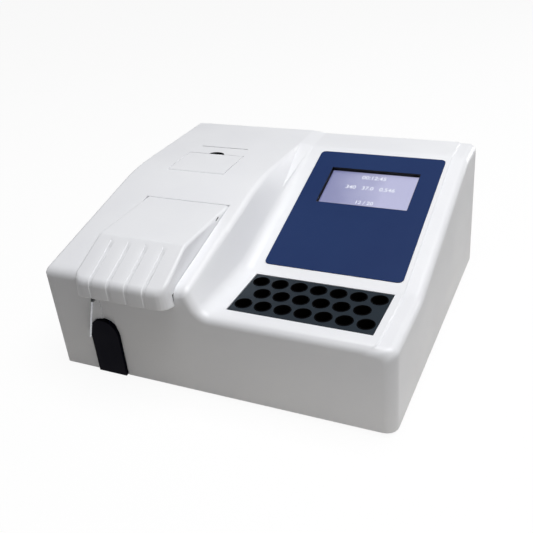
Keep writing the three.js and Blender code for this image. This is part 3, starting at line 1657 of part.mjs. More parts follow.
function makeInlet() {
  const flange = block(inletX - rear.inletWidth / 2, inletX + rear.inletWidth / 2, panelFace,
    panelFace + rear.flangeThickness, inletZ - rear.inletTall / 2, inletZ + rear.inletTall / 2);
  const bodyHalf = rear.inletWidth / 2 - rear.bodyMargin;
  const bodyTall = rear.inletTall / 2 - rear.bodyMargin;
  const outer = panelFace + rear.flangeThickness;
  const body = block(inletX - bodyHalf, inletX + bodyHalf, outer - rear.bodyDepth, outer,
    inletZ - bodyTall, inletZ + bodyTall);
  const socketX = inletX - rear.socketShift;
  const halfWide = rear.socketWidth / 2;
  const halfTall = rear.socketTall / 2;
  const cut = halfTall / 2;
  const socket = prismY([
    [socketX - halfWide, inletZ - halfTall],
    [socketX + halfWide, inletZ - halfTall],
    [socketX + halfWide, inletZ + halfTall - cut],
    [socketX + halfWide - cut, inletZ + halfTall],
    [socketX - halfWide + cut, inletZ + halfTall],
    [socketX - halfWide, inletZ + halfTall - cut],
  ], outer - rear.socketDepth, outer + overrun);
  const prongs = [[-rear.prongSpread, -rear.prongRise], [0, rear.prongRise], [rear.prongSpread,
    -rear.prongRise]];
  const pins = prongs.map(([dx, dz]) => {
    const x = socketX + dx;
    const z = inletZ + dz;
    return block(x - rear.prongWidth / 2, x + rear.prongWidth / 2, outer - rear.socketDepth - gap,
      outer - rear.socketDepth + rear.prongLength, z - rear.prongTall / 2, z + rear.prongTall / 2);
  });
  const rockerX = inletX + rear.rockerShift;
  const wellHalf = rear.rockerWidth / 2 + gap;
  const wellTall = rear.rockerTall / 2 + looseGap;
  const well = block(rockerX - wellHalf, rockerX + wellHalf, outer - rear.rockerDepth - rear.flangeThickness,
    outer + overrun, inletZ - wellTall, inletZ + wellTall);
  const bearing = rodX(inletZ, 0, rockerX - wellHalf - rear.rockerBearing,
    rockerX + wellHalf + rear.rockerBearing, rear.rockerShaft + gap, segments.small);
  const pivot = bearing.translate([0, rockerPivotY - inletZ, inletZ]);
  return joined([flange, body]).subtract(joined([socket, well, pivot])).add(joined(pins));
}

function makeRocker() {
  const rockerX = inletX + rear.rockerShift;
  const outer = panelFace + rear.flangeThickness;
  const halfTall = rear.rockerTall / 2;
  const crown = rear.flangeThickness;
  const points = [
    [outer - rear.rockerDepth / 2, -halfTall],
    [outer + crown, -halfTall],
    [outer, 0],
    [outer + crown, halfTall],
    [outer - rear.rockerDepth / 2, halfTall],
    [outer - rear.rockerDepth, 0],
  ];
  const half = rear.rockerWidth / 2;
  const shape = points.map(([y, z]) => [y - rockerPivotY, z]);
  const paddle = prismX(shape, rockerX - half, rockerX + half);
  const shaft = rodX(0, 0, rockerX - half - looseGap, rockerX + half + looseGap, rear.rockerShaft,
    segments.small);
  const turned = paddle.add(shaft).rotate([rear.rockerAngleDegrees, 0, 0]);
  return turned.translate([0, rockerPivotY, inletZ]);
}

function makeSerialPort() {
  const flange = block(portX - rear.portWidth / 2, portX + rear.portWidth / 2, panelFace,
    panelFace + rear.portFlange, portZ - rear.portTall / 2, portZ + rear.portTall / 2);
  const half = rear.portShellWidth / 2;
  const tall = rear.portShellTall / 2;
  const lean = rear.portLean;
  const plug = prismY([
    [portX - half + lean, portZ - tall],
    [portX + half - lean, portZ - tall],
    [portX + half, portZ + tall],
    [portX - half, portZ + tall],
  ], panelInner - rear.portBodyDepth, panelFace + rear.portFlange + rear.portShellLength);
  return flange.add(plug);
}

function makeWastePort() {
  const t = rear.panelThickness;
  const flangeEnd = t + rear.flangeThickness;
  const outside = rear.recess - gap;
  const outline = [
    [rear.wasteBore, -rear.wasteTail],
    [rear.wasteBarb, -rear.wasteTail],
    [rear.wasteBarb, t],
    [rear.wasteFlange, t],
    [rear.wasteFlange, flangeEnd],
    [rear.wasteBarb, flangeEnd],
    [rear.wasteBarb, t + outside],
    [rear.wasteBore, t + outside],
    [rear.wasteBore, -rear.wasteTail],
  ];
  return turnedY(outline, wasteX, panelInner, wasteZ, segments.small);
}

// Base plate and feet
function footPlaces() {
  const x = right - feet.insetX;
  return [
    ["front_left", -x, front + feet.insetY],
    ["front_right", x, front + feet.insetY],
    ["rear_left", -x, back - feet.insetY],
    ["rear_right", x, back - feet.insetY],
  ];
}

function makeBasePlate() {
  const inset = housing.wall + gap;
  const x = right - inset;
  const y0 = front + inset;
  const r = base.cornerRadius;
  const outline = rounded([
    [-x, y0, r, segments.arc],
    [x, y0, r, segments.arc],
    [x, panelFace],
    [-x, panelFace],
  ]);
  const plate = prismZ(outline, bottom, floorTop);
  const holes = footPlaces().map(([, px, py]) => rodZ(px, py, bottom - overrun, floorTop + overrun,
    feet.stemRadius + gap, segments.small));
  const half = key.width / 2 + base.notchMargin;
  const notch = block(keyX - half, keyX + half, front, y0 + base.notchDepth, bottom - overrun,
    floorTop + overrun);
  return plate.subtract(joined([...holes, notch]));
}

function makeFoot(x, y) {
  const top = feet.height + base.thickness + feet.stemTop;
  const outline = [
    [0, 0],
    [feet.radius, 0],
    [feet.radius - feet.taper, feet.height],
    [feet.stemRadius, feet.height],
    [feet.stemRadius, top],
    [0, top],
  ];
  return turnedZ(outline, x, y, 0);
}

// Power supply and main board
function makeSupply() {
  const x0 = left + housing.wall + supply.fromLeft;
  const x1 = x0 + supply.width;
  const y0 = lampRear + supply.roomFront;
  const y1 = panelFace + rear.flangeThickness - rear.bodyDepth - supply.roomRear;
  const top = floorTop + supply.height;
  const can = block(x0, x1, y0, y1, floorTop, top);
  const vents = [];
  for (let i = 0; i < supply.vents; i++) {
    const y = (y0 + y1) / 2 + (i - (supply.vents - 1) / 2) * supply.ventPitch;
    vents.push(blockAt((x0 + x1) / 2, y, top - supply.ventDepth, supply.ventWidth, supply.ventThickness,
      supply.ventDepth + overrun));
  }
  return can.subtract(joined(vents));
}

function makeMainBoard() {
  const x1 = right - housing.wall - board.fromRight;
  const x0 = crestX + board.fromCrest;
  const y0 = kinkY + board.fromKink;
  const y1 = y0 + board.depth;
  const low = floorTop + board.standoff;
  const high = low + board.thickness;
  const sheet = block(x0, x1, y0, y1, low, high);
  const inset = board.postInset;
  const corners = [[x0 + inset, y0 + inset], [x1 - inset, y0 + inset], [x1 - inset, y1 - inset],
    [x0 + inset, y1 - inset]];
  const posts = corners.map(([x, y]) => rodZ(x, y, floorTop, high, board.postRadius, segments.tiny));
  const at = (share, from, to) => from + (to - from) * share;
  const chipShares = [[0.35, 0.4], [0.65, 0.7]];
  const chips = chipShares.map(([u, v]) => blockAt(at(u, x0, x1), at(v, y0, y1), low, board.chipSide,
    board.chipSide,
    board.thickness + board.chipHeight));
  const headerShares = [[0.3, 0.08], [0.7, 0.08], [0.5, 0.93]];
  const headers = headerShares.map(([u, v]) => blockAt(at(u, x0, x1), at(v, y0, y1), low, board.headerLength,
    board.headerWidth, board.thickness + board.headerHeight));
  const canShares = [[0.12, 0.5], [0.12, 0.65]];
  const cans = canShares.map(([u, v]) => rodZ(at(u, x0, x1), at(v, y0, y1), low, high + board.canHeight,
    board.canRadius, segments.small));
  return joined([sheet, ...posts, ...chips, ...headers, ...cans]);
}

// Finishes
function finish(color, roughness, metalness = 0, opacity = 1) {
  return { color, roughness, metalness, opacity };
}

const finishes = {
  whiteShell: finish(0xe9ebf0, 0.42),
  navyFilm: finish(0x2a3a66, 0.35),
  slate: finish(0x2d343c, 0.5, 0.3),
  darkKey: finish(0x0c0c1c, 0.35),
  rubber: finish(0x161616, 0.85),
  steel: finish(0xc4c8cc, 0.25, 1),
  plate: finish(0xb9bcc0, 0.45, 0.9),
  glass: finish(0xa09bcd, 0.08, 0, 0.6),
  quartz: finish(0xdfeaf2, 0.05, 0, 0.5),
  screen: finish(0x9a96c8, 0.3),
  circuit: finish(0x1d5a3a, 0.5),
  darkPlastic: finish(0x2a2c30, 0.55),
  greyPlastic: finish(0x8c9096, 0.5),
  aluminium: finish(0xa9adb2, 0.4, 0.9),
  silicone: finish(0xe6e2d8, 0.4, 0, 0.8),
  paper: finish(0xf6f5f0, 0.9),
};

const analyzer = new THREE.Group();

function addPiece(parent, name, solid, look) {
  const material = new THREE.MeshStandardMaterial({ ...look, transparent: look.opacity < 1 });
  const mesh = new THREE.Mesh(geometryOf(solid), material);
  mesh.name = name;
  parent.add(mesh);
  return mesh;
}

function addGroup(pieces) {
  const group = new THREE.Group();
  pieces.forEach(([name, solid, look]) => addPiece(group, name, solid, look));
  analyzer.add(group);
}

function buildCase() {
  addGroup([
    ["upper_housing", makeHousing(), finishes.whiteShell],
    ["base_plate", makeBasePlate(), finishes.plate],
    ["rear_panel", makeRearPanel(), finishes.plate],
    ...footPlaces().map(([place, x, y]) => [`foot_${place}`, makeFoot(x, y), finishes.rubber]),
  ]);
}

function buildMeasuringBay() {
  addGroup([
    ["lid", makeLid(), finishes.whiteShell],
    ["bay_tray", makeTray(), finishes.greyPlastic],
    ["hinge_bracket_left", makeHingeBracket(-1), finishes.greyPlastic],
    ["hinge_bracket_right", makeHingeBracket(1), finishes.greyPlastic],
    ["hinge_pin_left", makeHingePin(-1), finishes.steel],
    ["hinge_pin_right", makeHingePin(1), finishes.steel],
    ["aspiration_needle", makeNeedle(), finishes.steel],
    ["needle_sleeve", makeNeedleSleeve(), finishes.darkPlastic],
    ["needle_holder", makeNeedleHolder(), finishes.darkPlastic],
    ["sample_tube", makeSampleTube(), finishes.silicone],
    ["pump_tube", makePumpTube(), finishes.silicone],
    ["waste_tube", makeWasteTube(), finishes.silicone],
  ]);
}

function buildPump() {
  addGroup([
    ["pump_body", makePumpBody(), finishes.greyPlastic],
    ["pump_rotor", makePumpRotor(), finishes.darkPlastic],
    ...rollerPlaces().map((place, i) => [`pump_roller_${i + 1}`, makeRoller(place), finishes.steel]),
    ["pump_motor", makePumpMotor(), finishes.aluminium],
  ]);
}

function buildPhotometer() {
  addGroup([
    ["flow_cell_holder", makeCellHolder(), finishes.darkPlastic],
    ["flow_cell", makeFlowCell(), finishes.quartz],
    ["light_detector", makeDetector(), finishes.circuit],
    ["optics_bench", makeBench(), finishes.aluminium],
    ["lens_tube", makeLensTube(), finishes.darkPlastic],
    ["filter_wheel", makeFilterWheel(), finishes.darkPlastic],
    ["filter_motor", makeFilterMotor(), finishes.aluminium],
    ["lamp_housing", makeLampHousing(), finishes.aluminium],
    ["lamp", makeLamp(), finishes.quartz],
  ]);
}

function buildKey() {
  addGroup([
    ["aspirate_key", makeKey(), finishes.darkKey],
    ["key_bracket", makeKeyBracket(), finishes.plate],
    ["key_switch", makeKeySwitch(), finishes.darkPlastic],
  ]);
}

function buildConsole() {
  const glassLow = glassTop - display.glassThickness;
  const moduleLow = moduleTop - display.moduleThickness;
  addGroup([
    ["display_membrane", makeMembrane(), finishes.navyFilm],
    ["display_glass", onSlope(windowBlock(display.glassMargin, glassLow, glassTop)), finishes.glass],
    ["display_module", onSlope(windowBlock(display.moduleMargin, moduleLow, moduleTop)), finishes.screen],
    ["display_board", makeDisplayBoard(), finishes.circuit],
    ["incubator_block", makeIncubatorBlock(), finishes.slate],
    ["incubator_heater", makeHeater(), finishes.darkPlastic],
    ["incubator_bracket", makeIncubatorBracket(), finishes.plate],
  ]);
}

function buildPrinter() {
  addGroup([
    ["printer_cover", makePrinterCover(), finishes.whiteShell],
    ["cover_pin_left", makeCoverPin(-1), finishes.steel],
    ["cover_pin_right", makeCoverPin(1), finishes.steel],
    ["printer_frame", makePrinterFrame(), finishes.darkPlastic],
    ["platen_roller", makePlaten(), finishes.rubber],
    ["print_head", makePrintHead(), finishes.darkPlastic],
    ["paper_roll", makePaperRoll(), finishes.paper],
    ["printer_motor", makePrinterMotor(), finishes.aluminium],
  ]);
}

function buildElectrics() {
  addGroup([
    ["main_board", makeMainBoard(), finishes.circuit],
    ["power_supply", makeSupply(), finishes.plate],
    ["fan_frame", makeFanFrame(), finishes.darkPlastic],
    ["fan_rotor", makeFanRotor(), finishes.darkPlastic],
    ["power_inlet", makeInlet(), finishes.darkPlastic],
    ["power_switch", makeRocker(), finishes.rubber],
    ["serial_port", makeSerialPort(), finishes.steel],
    ["waste_port", makeWastePort(), finishes.darkPlastic],
  ]);
}

buildCase();
buildMeasuringBay();
buildPump();
buildPhotometer();
buildKey();
buildConsole();
buildPrinter();
buildElectrics();

export default analyzer;
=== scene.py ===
"""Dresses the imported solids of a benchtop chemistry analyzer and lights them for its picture."""

import json
import logging
import math
from contextlib import contextmanager
from dataclasses import dataclass, field
from enum import Enum
from typing import Any, Callable, Iterator, Optional, Sequence, Union

import bpy
from mathutils import Matrix, Vector

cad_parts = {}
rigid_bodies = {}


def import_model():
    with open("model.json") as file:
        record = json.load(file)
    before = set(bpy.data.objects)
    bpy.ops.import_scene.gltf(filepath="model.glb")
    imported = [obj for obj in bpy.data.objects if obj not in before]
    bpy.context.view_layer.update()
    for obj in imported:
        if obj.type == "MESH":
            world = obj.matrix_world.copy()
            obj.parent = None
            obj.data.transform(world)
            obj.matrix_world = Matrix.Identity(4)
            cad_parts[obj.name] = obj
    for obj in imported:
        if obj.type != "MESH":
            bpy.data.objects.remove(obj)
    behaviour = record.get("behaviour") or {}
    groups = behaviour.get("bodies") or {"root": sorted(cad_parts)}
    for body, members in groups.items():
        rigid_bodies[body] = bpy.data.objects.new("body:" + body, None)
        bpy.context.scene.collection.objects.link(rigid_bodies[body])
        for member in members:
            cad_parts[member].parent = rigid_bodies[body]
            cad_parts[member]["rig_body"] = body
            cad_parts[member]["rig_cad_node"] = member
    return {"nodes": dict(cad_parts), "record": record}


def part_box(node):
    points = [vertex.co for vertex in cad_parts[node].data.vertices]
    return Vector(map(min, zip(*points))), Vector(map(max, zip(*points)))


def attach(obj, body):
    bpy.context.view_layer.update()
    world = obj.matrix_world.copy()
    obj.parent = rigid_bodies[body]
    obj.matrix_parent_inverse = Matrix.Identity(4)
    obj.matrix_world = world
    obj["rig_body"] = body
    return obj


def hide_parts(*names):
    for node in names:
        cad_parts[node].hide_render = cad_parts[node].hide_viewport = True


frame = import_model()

LOG = logging.getLogger("analyzer")
MM = 0.001
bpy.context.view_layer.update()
POLE = 0.02  # radius of a turned piece's pole, in millimetres
ROUND_MERGE = 0.00002  # points of a turned piece merge within this, in metres
SOLID_MERGE = 0.000002  # points of a solid's copy merge within this, in metres
FLAT_ANGLE = math.radians(0.05)  # a copy's faces that are flatter than this join
UP, DOWN, BACK = (0, 0, 1), (0, 0, -1), (0, 1, 0)

Colour = tuple[float, float, float, float]
Place = tuple[float, float, float]
Value = Union[float, "Signal"]


def paint(code: str) -> Colour:
    """Turns a written colour into the linear one that shaders take.

    Args:
        code: six hexadecimal digits, red first.
    Returns:
        The linear colour, opaque.
    """
    parts = [int(code[i : i + 2], 16) / 255 for i in (0, 2, 4)]
    linear = [p / 12.92 if p <= 0.04045 else ((p + 0.055) / 1.055) ** 2.4 for p in parts]
    return (linear[0], linear[1], linear[2], 1.0)


class Signal:
    """A shader output that takes plain arithmetic."""

    def __init__(self, shader: "Shader", socket: bpy.types.NodeSocket) -> None:
        """Holds one output socket of a shader's tree."""
        self.shader = shader
        self.socket = socket

    def _maths(self, operation: str, first: Value, second: Value) -> "Signal":
        """Adds one Math node.

        Args:
            operation: the node's operation.
            first: its first value or link.
            second: its second value or link.
        Returns:
            The node's output.
        """
        node = self.shader.node("ShaderNodeMath", {"operation": operation}, {0: first, 1: second})
        return Signal(self.shader, node.outputs[0])

    def __add__(self, other: Value) -> "Signal":
        """Sum of the two."""
        return self._maths("ADD", self, other)

    def __radd__(self, other: Value) -> "Signal":
        """Sum of the two."""
        return self._maths("ADD", other, self)

    def __sub__(self, other: Value) -> "Signal":
        """This less the other."""
        return self._maths("SUBTRACT", self, other)

    def __rsub__(self, other: Value) -> "Signal":
        """The other less this."""
        return self._maths("SUBTRACT", other, self)

    def __mul__(self, other: Value) -> "Signal":
        """Product of the two."""
        return self._maths("MULTIPLY", self, other)

    def __rmul__(self, other: Value) -> "Signal":
        """Product of the two."""
        return self._maths("MULTIPLY", other, self)

    def __truediv__(self, other: Value) -> "Signal":
        """This over the other."""
        return self._maths("DIVIDE", self, other)

    def __pow__(self, other: Value) -> "Signal":
        """This to the power of the other."""
        return self._maths("POWER", self, other)

    def __gt__(self, other: Value) -> "Signal":
        """One where this is larger, else nought."""
        return self._maths("GREATER_THAN", self, other)

    def __lt__(self, other: Value) -> "Signal":
        """One where this is smaller, else nought."""
        return self._maths("LESS_THAN", self, other)

    def folded(self, step: float) -> "Signal":
        """Triangle wave of this, from nought to the step."""
        return self._maths("PINGPONG", self, step)

    def spread(self, low: float, high: float, to_low: float, to_high: float) -> "Signal":
        """Maps a range of this to another range, held at its ends.

        Args:
            low: the value that becomes to_low.
            high: the value that becomes to_high.
            to_low: lower result.
            to_high: upper result.
        Returns:
            The mapped output.
        """
        node = self.shader.node(
            "ShaderNodeMapRange",
            {"clamp": True},
            {"Value": self, "From Min": low, "From Max": high, "To Min": to_low, "To Max": to_high},
        )
        return Signal(self.shader, node.outputs[0])


class Shader:
    """The node tree of one material or of the world."""

    def __init__(self, owner: Union[bpy.types.Material, bpy.types.World]) -> None:
        """Starts an empty tree on its owner.

        Args:
            owner: the material or the world.
        """
        owner.use_nodes = True
        self.owner = owner
        self.tree = owner.node_tree
        self.tree.nodes.clear()

    @classmethod
    def called(cls, name: str) -> "Shader":
        """Starts the tree of a new material."""
        return cls(bpy.data.materials.new(f"{name}_finish"))

    def node(
        self,
        kind: str,
        settings: Optional[dict[str, Any]] = None,
        inputs: Optional[dict[Union[int, str], Any]] = None,
    ) -> bpy.types.Node:
        """Adds a node with its settings, socket values and links.

        Args:
            kind: the node's type.
            settings: its properties by name.
            inputs: its sockets by name or number, each a value or a Signal.
        Returns:
            The node.
        """
        made = self.tree.nodes.new(kind)
        for key, value in (settings or {}).items():
            setattr(made, key, value)
        for key, value in (inputs or {}).items():
            if isinstance(value, Signal):
                self.tree.links.new(value.socket, made.inputs[key])
            else:
                made.inputs[key].default_value = value
        return made

    def place(self, stretch: Sequence[float] = (1, 1, 1), turn: Sequence[float] = (0, 0, 0)) -> Signal:
        """Object coordinates, stretched and turned.

        Args:
            stretch: scale along each axis.
            turn: turn about each axis, in radians.
        Returns:
            The vector.
        """
        source = self.node("ShaderNodeTexCoord").outputs["Object"]
        mapped = self.node(
            "ShaderNodeMapping", None, {"Vector": Signal(self, source), "Scale": stretch, "Rotation": turn}
        )
        return Signal(self, mapped.outputs[0])

    def axes(self, vector: Optional[Signal] = None) -> list[Signal]:
        """The three parts of a vector, or of the object coordinates."""
        parts = self.node("ShaderNodeSeparateXYZ", None, {0: vector or self.place()})
        return [Signal(self, s) for s in parts.outputs]

    def noise(self, size: float, detail: float = 2.0, stretch: Sequence[float] = (1, 1, 1)) -> Signal:
        """Cloudy noise, from 0 to 1.

        Args:
            size: size of a cloud, in metres.
            detail: how many finer layers it has.
            stretch: scale along each axis.
        Returns:
            The noise.
        """
        node = self.node(
            "ShaderNodeTexNoise",
            {"noise_dimensions": "3D"},
            {"Vector": self.place(stretch), "Scale": 1 / size, "Detail": detail},
        )
        return Signal(self, node.outputs[0])

    def mix(self, factor: Value, first: Union[Colour, Signal], second: Union[Colour, Signal]) -> Signal:
        """A colour between two colours.

        Args:
            factor: 0 for the first, 1 for the second.
            first: a colour or a link.
            second: a colour or a link.
        Returns:
            The colour.
        """
        node = self.node("ShaderNodeMix", {"data_type": "RGBA"}, {0: factor, 6: first, 7: second})
        return Signal(self, node.outputs[2])

    def bump(self, height: Signal, depth: float, strength: float = 1.0) -> Signal:
        """A normal that shows a height.

        Args:
            height: the height, from 0 to 1.
            depth: the height's full depth, in metres.
            strength: how much of it shows.
        Returns:
            The normal.
        """
        node = self.node(
            "ShaderNodeBump", None, {"Height": height, "Distance": depth, "Strength": strength}
        )
        return Signal(self, node.outputs[0])

    def surface(self, sockets: dict[str, Any]) -> bpy.types.Material:
        """Ends the tree in a principled surface.

        Args:
            sockets: the shader's sockets by name.
        Returns:
            The finished material.
        """
        shader = self.node("ShaderNodeBsdfPrincipled", None, sockets)
        self.node("ShaderNodeOutputMaterial", None, {0: Signal(self, shader.outputs[0])})
        return self.owner


@dataclass(frozen=True)
class Moulding:
    """Moulded plastic or rubber with a fine spark texture and a slow drift of tone."""

    name: str
    colour: str
    deeper: str
    roughness: float = 0.45
    grain: float = 0.0007
    relief: float = 0.00002
    gloss: float = 0.5

    def material(self) -> bpy.types.Material:
        """Builds the finish.

        Returns:
            The material.
        """
        s = Shader.called(self.name)
        drift = s.noise(0.09, 3).spread(0.3, 0.7, 0, 1)
        grain = s.noise(self.grain, 2)
        worn = s.noise(0.02, 4).spread(0.35, 0.7, -0.04, 0.05)
        return s.surface(
            {
                "Base Color": s.mix(drift, paint(self.colour), paint(self.deeper)),
                "Roughness": worn + self.roughness,
                "Specular IOR Level": self.gloss,
                "Normal": s.bump(grain, self.relief),
            }
        )


@dataclass(frozen=True)
class Metal:
    """Bare metal, brushed along one axis or blasted all over."""

    name: str
    colour: str
    roughness: float = 0.28
    grain: tuple[float, float, float] = (1, 1, 1)
    size: float = 0.0006
    metallic: float = 1.0

    def material(self) -> bpy.types.Material:
        """Builds the finish.

        Returns:
            The material.
        """
        s = Shader.called(self.name)
        lines = s.noise(self.size, 3, self.grain)
        cloud = s.noise(0.03, 3)
        base = paint(self.colour)
        darker = (base[0] * 0.72, base[1] * 0.72, base[2] * 0.74, 1.0)
        return s.surface(
            {
                "Base Color": s.mix(lines.spread(0.3, 0.7, 0, 0.6) + cloud * 0.3, base, darker),
                "Metallic": self.metallic,
                "Roughness": lines.spread(0.3, 0.7, self.roughness - 0.06, self.roughness + 0.1),
                "Normal": s.bump(lines, 0.00001, 0.6),
            }
        )


@dataclass(frozen=True)
class Clear:
    """Clear glass or silicone, with faint smears."""

    name: str
    colour: str
    roughness: float = 0.03
    clearness: float = 1.0
    index: float = 1.45

    def material(self) -> bpy.types.Material:
        """Builds the finish.

        Returns:
            The material.
        """
        s = Shader.called(self.name)
        smear = s.noise(0.02, 4).spread(0.5, 0.8, 0, 0.08)
        return s.surface(
            {
                "Base Color": paint(self.colour),
                "Transmission Weight": self.clearness,
                "IOR": self.index,
                "Roughness": smear + self.roughness,
            }
        )


@dataclass(frozen=True)
class BoardMask:
    """Solder mask with pale tracks under it."""

    name: str
    colour: str
    track: str
    pitch: float = 0.0025

    def material(self) -> bpy.types.Material:
        """Builds the finish.

        Returns:
            The material.
        """
        s = Shader.called(self.name)
        x, y, _ = s.axes()
        bend = s.noise(0.02, 0).spread(0.3, 0.7, -0.002, 0.002)
        across = ((x + bend).folded(self.pitch) < self.pitch * 0.16) * (s.noise(0.03, 0) > 0.5)
        along = ((y + bend).folded(self.pitch) < self.pitch * 0.16) * (s.noise(0.03, 0) < 0.5)
        lines = across + along
        return s.surface(
            {
                "Base Color": s.mix(lines, paint(self.colour), paint(self.track)),
                "Roughness": lines.spread(0, 1, 0.38, 0.3),
                "Normal": s.bump(lines, 0.00003),
            }
        )


@dataclass(frozen=True)
class LitScreen:
    """A lit liquid crystal screen: pale violet, with its grid of cells, inside a dark frame."""

    name: str
    centre: str
    corner: str
    frame: str
    left: float
    right: float
    low: float
    high: float
    tilt: float
    origin: tuple[float, float, float]
    cell: float = 0.0004

    def material(self) -> bpy.types.Material:
        """Builds the finish.

        Returns:
            The material.
        """
        s = Shader.called(self.name)
        x, y, z = s.axes()
        up = (y - self.origin[1]) * math.cos(self.tilt) + (z - self.origin[2]) * math.sin(self.tilt)
        inside = (x > self.left) * (x < self.right) * (up > self.low) * (up < self.high)
        grid = (x.folded(self.cell / 2) / self.cell * 2) * (up.folded(self.cell / 2) / self.cell * 2)
        across = (x - self.left) / (self.right - self.left)
        glow = (across * 0.6 + s.noise(0.03, 1) * 0.25).spread(0.1, 0.55, 0, 1)
        lit = s.mix(glow, paint(self.corner), paint(self.centre))
        cells = s.mix(grid.spread(0, 1, 0.0, 0.12), lit, paint("FFFFFF"))
        black = (0.0, 0.0, 0.0, 1.0)
        return s.surface(
            {
                "Base Color": s.mix(inside, paint(self.frame), paint("10101A")),
                "Roughness": 0.4,
                "Emission Color": s.mix(inside, black, cells),
                "Emission Strength": 1.0,
            }
        )


@dataclass(frozen=True)
class Lit:
    """A lit mark: plain light with a faint flicker of its cells."""

    name: str
    colour: str
    edge: str
    cell: float = 0.0004

    def material(self) -> bpy.types.Material:
        """Builds the finish.

        Returns:
            The material.
        """
        s = Shader.called(self.name)
        x, _, _ = s.axes()
        cells = x.folded(self.cell / 2) / self.cell * 2
        return s.surface(
            {
                "Base Color": paint("202024"),
                "Roughness": 0.5,
                "Emission Color": s.mix(cells, paint(self.colour), paint(self.edge)),
                "Emission Strength": 1.0,
            }
        )


@dataclass(frozen=True)
class Paper:
    """Thermal paper: pale, its tone mottled by a fine fibre."""

    name: str
    colour: str
    shade: str

    def material(self) -> bpy.types.Material:
        """Builds the finish.

        Returns:
            The material.
        """
        s = Shader.called(self.name)
        fibre = s.noise(0.0004, 3)
        return s.surface(
            {
                "Base Color": s.mix(fibre.spread(0.3, 0.8, 0, 0.5), paint(self.colour), paint(self.shade)),
                "Roughness": 0.75,
                "Normal": s.bump(fibre, 0.00002),
            }
        )


class Palette(Enum):
    """Every finish on the analyzer."""

    SHELL = Moulding("white_shell", "EEEFF2", "EAEBEF", 0.38, 0.0009, 0.000012)
    SHEET = Metal("painted_sheet", "BABCBF", 0.45, (1, 1, 1), 0.0012, 0.0)
    RUBBER = Moulding("foot_rubber", "181818", "202020", 0.75, 0.0006, 0.00005, 0.3)
    FILM = Moulding("navy_film", "1F325E", "223662", 0.55, 0.0005, 0.00001, 0.1)
    GLASS = Clear("clear_glass", "F4F7FA")
    BOARD = BoardMask("circuit_board", "14503A", "2F7A57")
    SLATE = Metal("slate_anodised", "2B3640", 0.42, (1, 1, 1), 0.0008, 0.4)
    GREY = Moulding("grey_plastic", "8A8E94", "82868D", 0.5, 0.0008, 0.00003)
    STEEL = Metal("brushed_steel", "C9CBCF", 0.22, (1, 1, 12))
    ALUMINIUM = Metal("blasted_aluminium", "B5B8BC", 0.36, (1, 1, 1), 0.0005)
    DARK = Moulding("dark_plastic", "25272B", "2B2D32", 0.5, 0.0007, 0.00003)
    BLACK = Moulding("well_black", "08080A", "0B0B0D", 0.5, 0.0007, 0.00002, 0.3)
    # near-black with almost no gloss: painted shade for the dark depths of the wells
    WELL = Moulding("well_liner", "050506", "070708", 0.6, 0.0007, 0.00001, 0.03)
    SILICONE = Clear("silicone_tube", "F1EEE4", 0.3, 0.6, 1.41)
    KEY = Moulding("dark_key", "05050F", "070713", 0.5, 0.0006, 0.00001, 0.03)
    PAPER = Paper("thermal_paper", "F5F3EC", "E4E1D8")
    CERAMIC = Moulding("lamp_ceramic", "DAD5C8", "CFC9BA", 0.6, 0.0005, 0.00003)
    BRASS = Metal("terminal_brass", "C9A860", 0.3, (1, 1, 1), 0.0004)
    TUNGSTEN = Metal("lamp_wire", "6E6A66", 0.35, (1, 1, 1), 0.0003)
    READING = Lit("lit_reading", "FFFFFF", "E4E4F6")
    MARK = Moulding("white_mark", "E8E8E8", "DCDCDC", 0.5, 0.0005, 0.00001)
    VIOLET = Clear("violet_filter", "8C78E8", 0.06)
    INDIGO = Clear("indigo_filter", "5A62E6", 0.06)
    BLUE = Clear("blue_filter", "4C92EC", 0.06)
    GREEN = Clear("green_filter", "4CC87E", 0.06)
    LIME = Clear("lime_filter", "A6D84A", 0.06)
    AMBER = Clear("amber_filter", "F0B040", 0.06)
    RED = Clear("red_filter", "E8603A", 0.06)
    RUBY = Clear("ruby_filter", "B8283A", 0.06)

    @property
    def made(self) -> bpy.types.Material:
        """The finish's material, built on first use.

        Returns:
            The material.
        """
        if self not in BUILT:
            BUILT[self] = self.value.material()
        return BUILT[self]


BUILT: dict[Palette, bpy.types.Material] = {}


